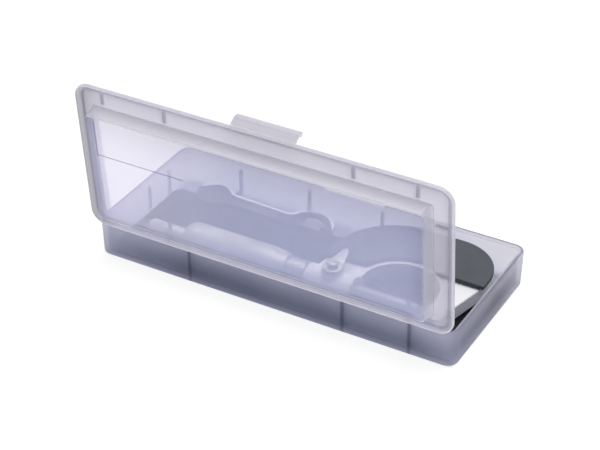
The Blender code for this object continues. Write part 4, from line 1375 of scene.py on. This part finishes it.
def make_spanner():
    """Plate with broken edges and a narrow bright land along its back edge, worn steel with a painted
    highlight.
    """
    turn = math.radians(-2.4)
    x = MIC.x - 34.4 - 11.2 - HOOK_R - SPANNER_PITCH
    y = CASE_Y - BASE_DRAFT - BASE_WALL - RIB_DEPTH - 2 * GAP - HOOK_R + SPANNER_PITCH * math.sin(-turn)
    place = (x, y, LINER_TOP + GAP)
    outline = spanner_outline()
    widths = worn_widths(outline)
    rings = []
    for inset, z in ((0.2, 0.0), (0.0, 0.2), (0.0, SPANNER_T - 0.15), (0.12, SPANNER_T - 0.02)):
        ring = drawn_in(outline, inset) if inset else outline
        rings.append([(u, v, z) for u, v in ring])
    rings.append([(u, v, SPANNER_T) for u, v in drawn_in(outline, widths)])
    plate = loft(rings)
    plate.faces.ensure_lookup_table()
    count = len(outline)
    # The back-edge land takes the bright finish: worn steel and painted highlight.
    for i, width in enumerate(widths):
        if min(width, widths[(i + 1) % count]) > 0.4:
            plate.faces[(len(rings) - 2) * count + i].material_index = 1
    made = as_object("spanner_plate", moved(plate, place, turn, "Z"), 20.0, (BLACK, WEAR_AND_HIGHLIGHT))
    # The hole's wall takes the bright finish too, a painted highlight.
    hole = moved(upright(spun(bar(-0.5, 2.0, 1.4, 0.1), 40)), place)
    combined(made, as_object("hole", hole, finishes=(WEAR_AND_HIGHLIGHT,)), "DIFFERENCE", "EXACT", 20.0)
    dressed(made, "spanner", [BLACK], "black_steel", "hook_spanner")


# Nodes that stay as they are, with a better finish

def dress_nodes():
    kept = {
        "inner_sleeve": STEEL,
        "adjusting_nut": BLACK,
        "ratchet_screw": BLACK,
        "ratchet_spring": BLACK,
        "lock_shoe": BRASS,
    }
    for name, finish in kept.items():
        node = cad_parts[name]
        node.data.materials.clear()
        node.data.materials.append(finish)


# Stage

def seen_white(shading, plain, white):
    """White to the camera, mirrors and glass, and plain to the light that falls on the object."""
    path = shading.nodes.new("ShaderNodeLightPath")
    total = None
    direct = shading.nodes.new("ShaderNodeMath")
    direct.operation = "LESS_THAN"
    shading.links.new(path.outputs["Diffuse Depth"], direct.inputs[0])
    direct.inputs[1].default_value = 0.5
    for name in ("Is Camera Ray", "Is Glossy Ray", "Is Transmission Ray"):
        if total is None:
            total = path.outputs[name]
            continue
        step = shading.nodes.new("ShaderNodeMath")
        step.operation = "MAXIMUM"
        shading.links.new(total, step.inputs[0])
        shading.links.new(path.outputs[name], step.inputs[1])
        total = step.outputs["Value"]
    seen = shading.nodes.new("ShaderNodeMath")
    seen.operation = "MULTIPLY"
    shading.links.new(total, seen.inputs[0])
    shading.links.new(direct.outputs["Value"], seen.inputs[1])
    mix = shading.nodes.new("ShaderNodeMixShader")
    shading.links.new(seen.outputs["Value"], mix.inputs["Fac"])
    shading.links.new(plain, mix.inputs[1])
    shading.links.new(white, mix.inputs[2])
    return mix.outputs["Shader"]


def make_world():
    world = bpy.data.worlds.new("studio")
    bpy.context.scene.world = world
    world.use_nodes = True
    tree = world.node_tree
    tree.nodes.clear()
    soft = tree.nodes.new("ShaderNodeBackground")
    soft.inputs["Color"].default_value = (0.96, 0.97, 1.0, 1.0)
    soft.inputs["Strength"].default_value = 0.14
    white = tree.nodes.new("ShaderNodeBackground")
    white.inputs["Color"].default_value = (1.0, 1.0, 1.0, 1.0)
    white.inputs["Strength"].default_value = 1.0
    out = tree.nodes.new("ShaderNodeOutputWorld")
    mixed = seen_white(tree, soft.outputs["Background"], white.outputs["Background"])
    tree.links.new(mixed, out.inputs["Surface"])


FLOOR_GLOW = 0.88


def make_floor():
    """Pale floor: white to the camera, and darker only where the object keeps light from it."""
    bm = bmesh.new()
    bmesh.ops.create_grid(bm, x_segments=1, y_segments=1, size=3000.0)
    bmesh.ops.translate(bm, verts=bm.verts, vec=(0.0, 0.0, -0.05))
    floor = as_object("floor", bm)
    material = bpy.data.materials.new("pale floor")
    material.use_nodes = True
    tree = material.node_tree
    tree.nodes.clear()
    plain = tree.nodes.new("ShaderNodeBsdfDiffuse")
    plain.inputs["Color"].default_value = (0.26, 0.26, 0.26, 1.0)
    lit = tree.nodes.new("ShaderNodeEmission")
    place = tree.nodes.new("ShaderNodeTexCoord").outputs["Object"]
    split = tree.nodes.new("ShaderNodeSeparateXYZ")
    tree.links.new(place, split.inputs["Vector"])
    reach = None
    # Painted shadow: the floor's glow fades out under the case's footprint, less so under a strip below the
    # back wall.
    bands = (
        ("X", "ABSOLUTE", CASE_X - 6.0, CASE_X - 1.0, FLOOR_GLOW),
        ("Y", "ABSOLUTE", CASE_Y - 6.0, CASE_Y - 1.0, FLOOR_GLOW),
        ("Y", "ADD", 14.0, 24.0, 0.6 * FLOOR_GLOW),
    )
    for axis, kind, near, far, strength in bands:
        off = tree.nodes.new("ShaderNodeMath")
        off.operation = kind
        off.inputs[1].default_value = 0.0
        tree.links.new(split.outputs[axis], off.inputs[0])
        past = tree.nodes.new("ShaderNodeMapRange")
        tree.links.new(off.outputs["Value"], past.inputs["Value"])
        ends = (near * MM, far * MM, 0.0, strength)
        for socket, number in zip(("From Min", "From Max", "To Min", "To Max"), ends):
            past.inputs[socket].default_value = number
        if reach is None:
            reach = past.outputs["Result"]
            continue
        more = tree.nodes.new("ShaderNodeMath")
        more.operation = "MAXIMUM"
        tree.links.new(reach, more.inputs[0])
        tree.links.new(past.outputs["Result"], more.inputs[1])
        reach = more.outputs["Value"]
    tree.links.new(reach, lit.inputs["Strength"])
    both = tree.nodes.new("ShaderNodeAddShader")
    tree.links.new(plain.outputs["BSDF"], both.inputs[0])
    tree.links.new(lit.outputs["Emission"], both.inputs[1])
    out = tree.nodes.new("ShaderNodeOutputMaterial")
    mixed = seen_white(tree, plain.outputs["BSDF"], both.outputs["Shader"])
    tree.links.new(mixed, out.inputs["Surface"])
    floor.data.materials.append(material)


def make_lamp(name, place, target, size, power, colour=(1.0, 1.0, 1.0)):
    lamp = bpy.data.lights.new(name, "AREA")
    lamp.shape = "RECTANGLE"
    lamp.size, lamp.size_y = size
    lamp.energy = power
    lamp.color = colour
    holder = bpy.data.objects.new(name, lamp)
    bpy.context.scene.collection.objects.link(holder)
    holder.location = place
    holder.rotation_euler = (Vector(target) - Vector(place)).to_track_quat("-Z", "Y").to_euler()


def make_camera():
    data = bpy.data.cameras.new("camera")
    data.lens = CAMERA_LENS
    data.sensor_width = 36.0
    data.clip_start = 0.01
    data.clip_end = 20.0
    holder = bpy.data.objects.new("camera", data)
    bpy.context.scene.collection.objects.link(holder)
    holder.location = Vector(CAMERA_PLACE) * MM
    level = math.cos(CAMERA_DROP)
    ahead = Vector((
        math.sin(CAMERA_AZIMUTH) * level,
        math.cos(CAMERA_AZIMUTH) * level,
        -math.sin(CAMERA_DROP),
    ))
    holder.rotation_euler = ahead.to_track_quat("-Z", "Y").to_euler()
    bpy.context.scene.camera = holder


bpy.context.scene.view_settings.view_transform = "Standard"
make_camera()
make_world()
make_floor()
make_lamp("overhead softbox", (0.05, 0.16, 0.80), (0.0, 0.0, 0.0), (0.9, 0.7), 6.7)
make_lamp("back softbox", (0.15, 0.85, 0.38), (0.0, 0.0, 0.04), (1.0, 0.5), 1.4)
make_lamp("left fill", (-0.70, -0.45, 0.40), (0.0, 0.0, 0.02), (0.5, 0.5), 0.2)

make_base()
make_lid()
make_window_bead()
make_hinge()
make_latch()
make_liner()
make_frame()
make_plates()
make_measuring_line()
make_thimble()
make_scales()
make_sleeve_face()
make_ratchet()
make_lock()
make_spanner()
dress_nodes()
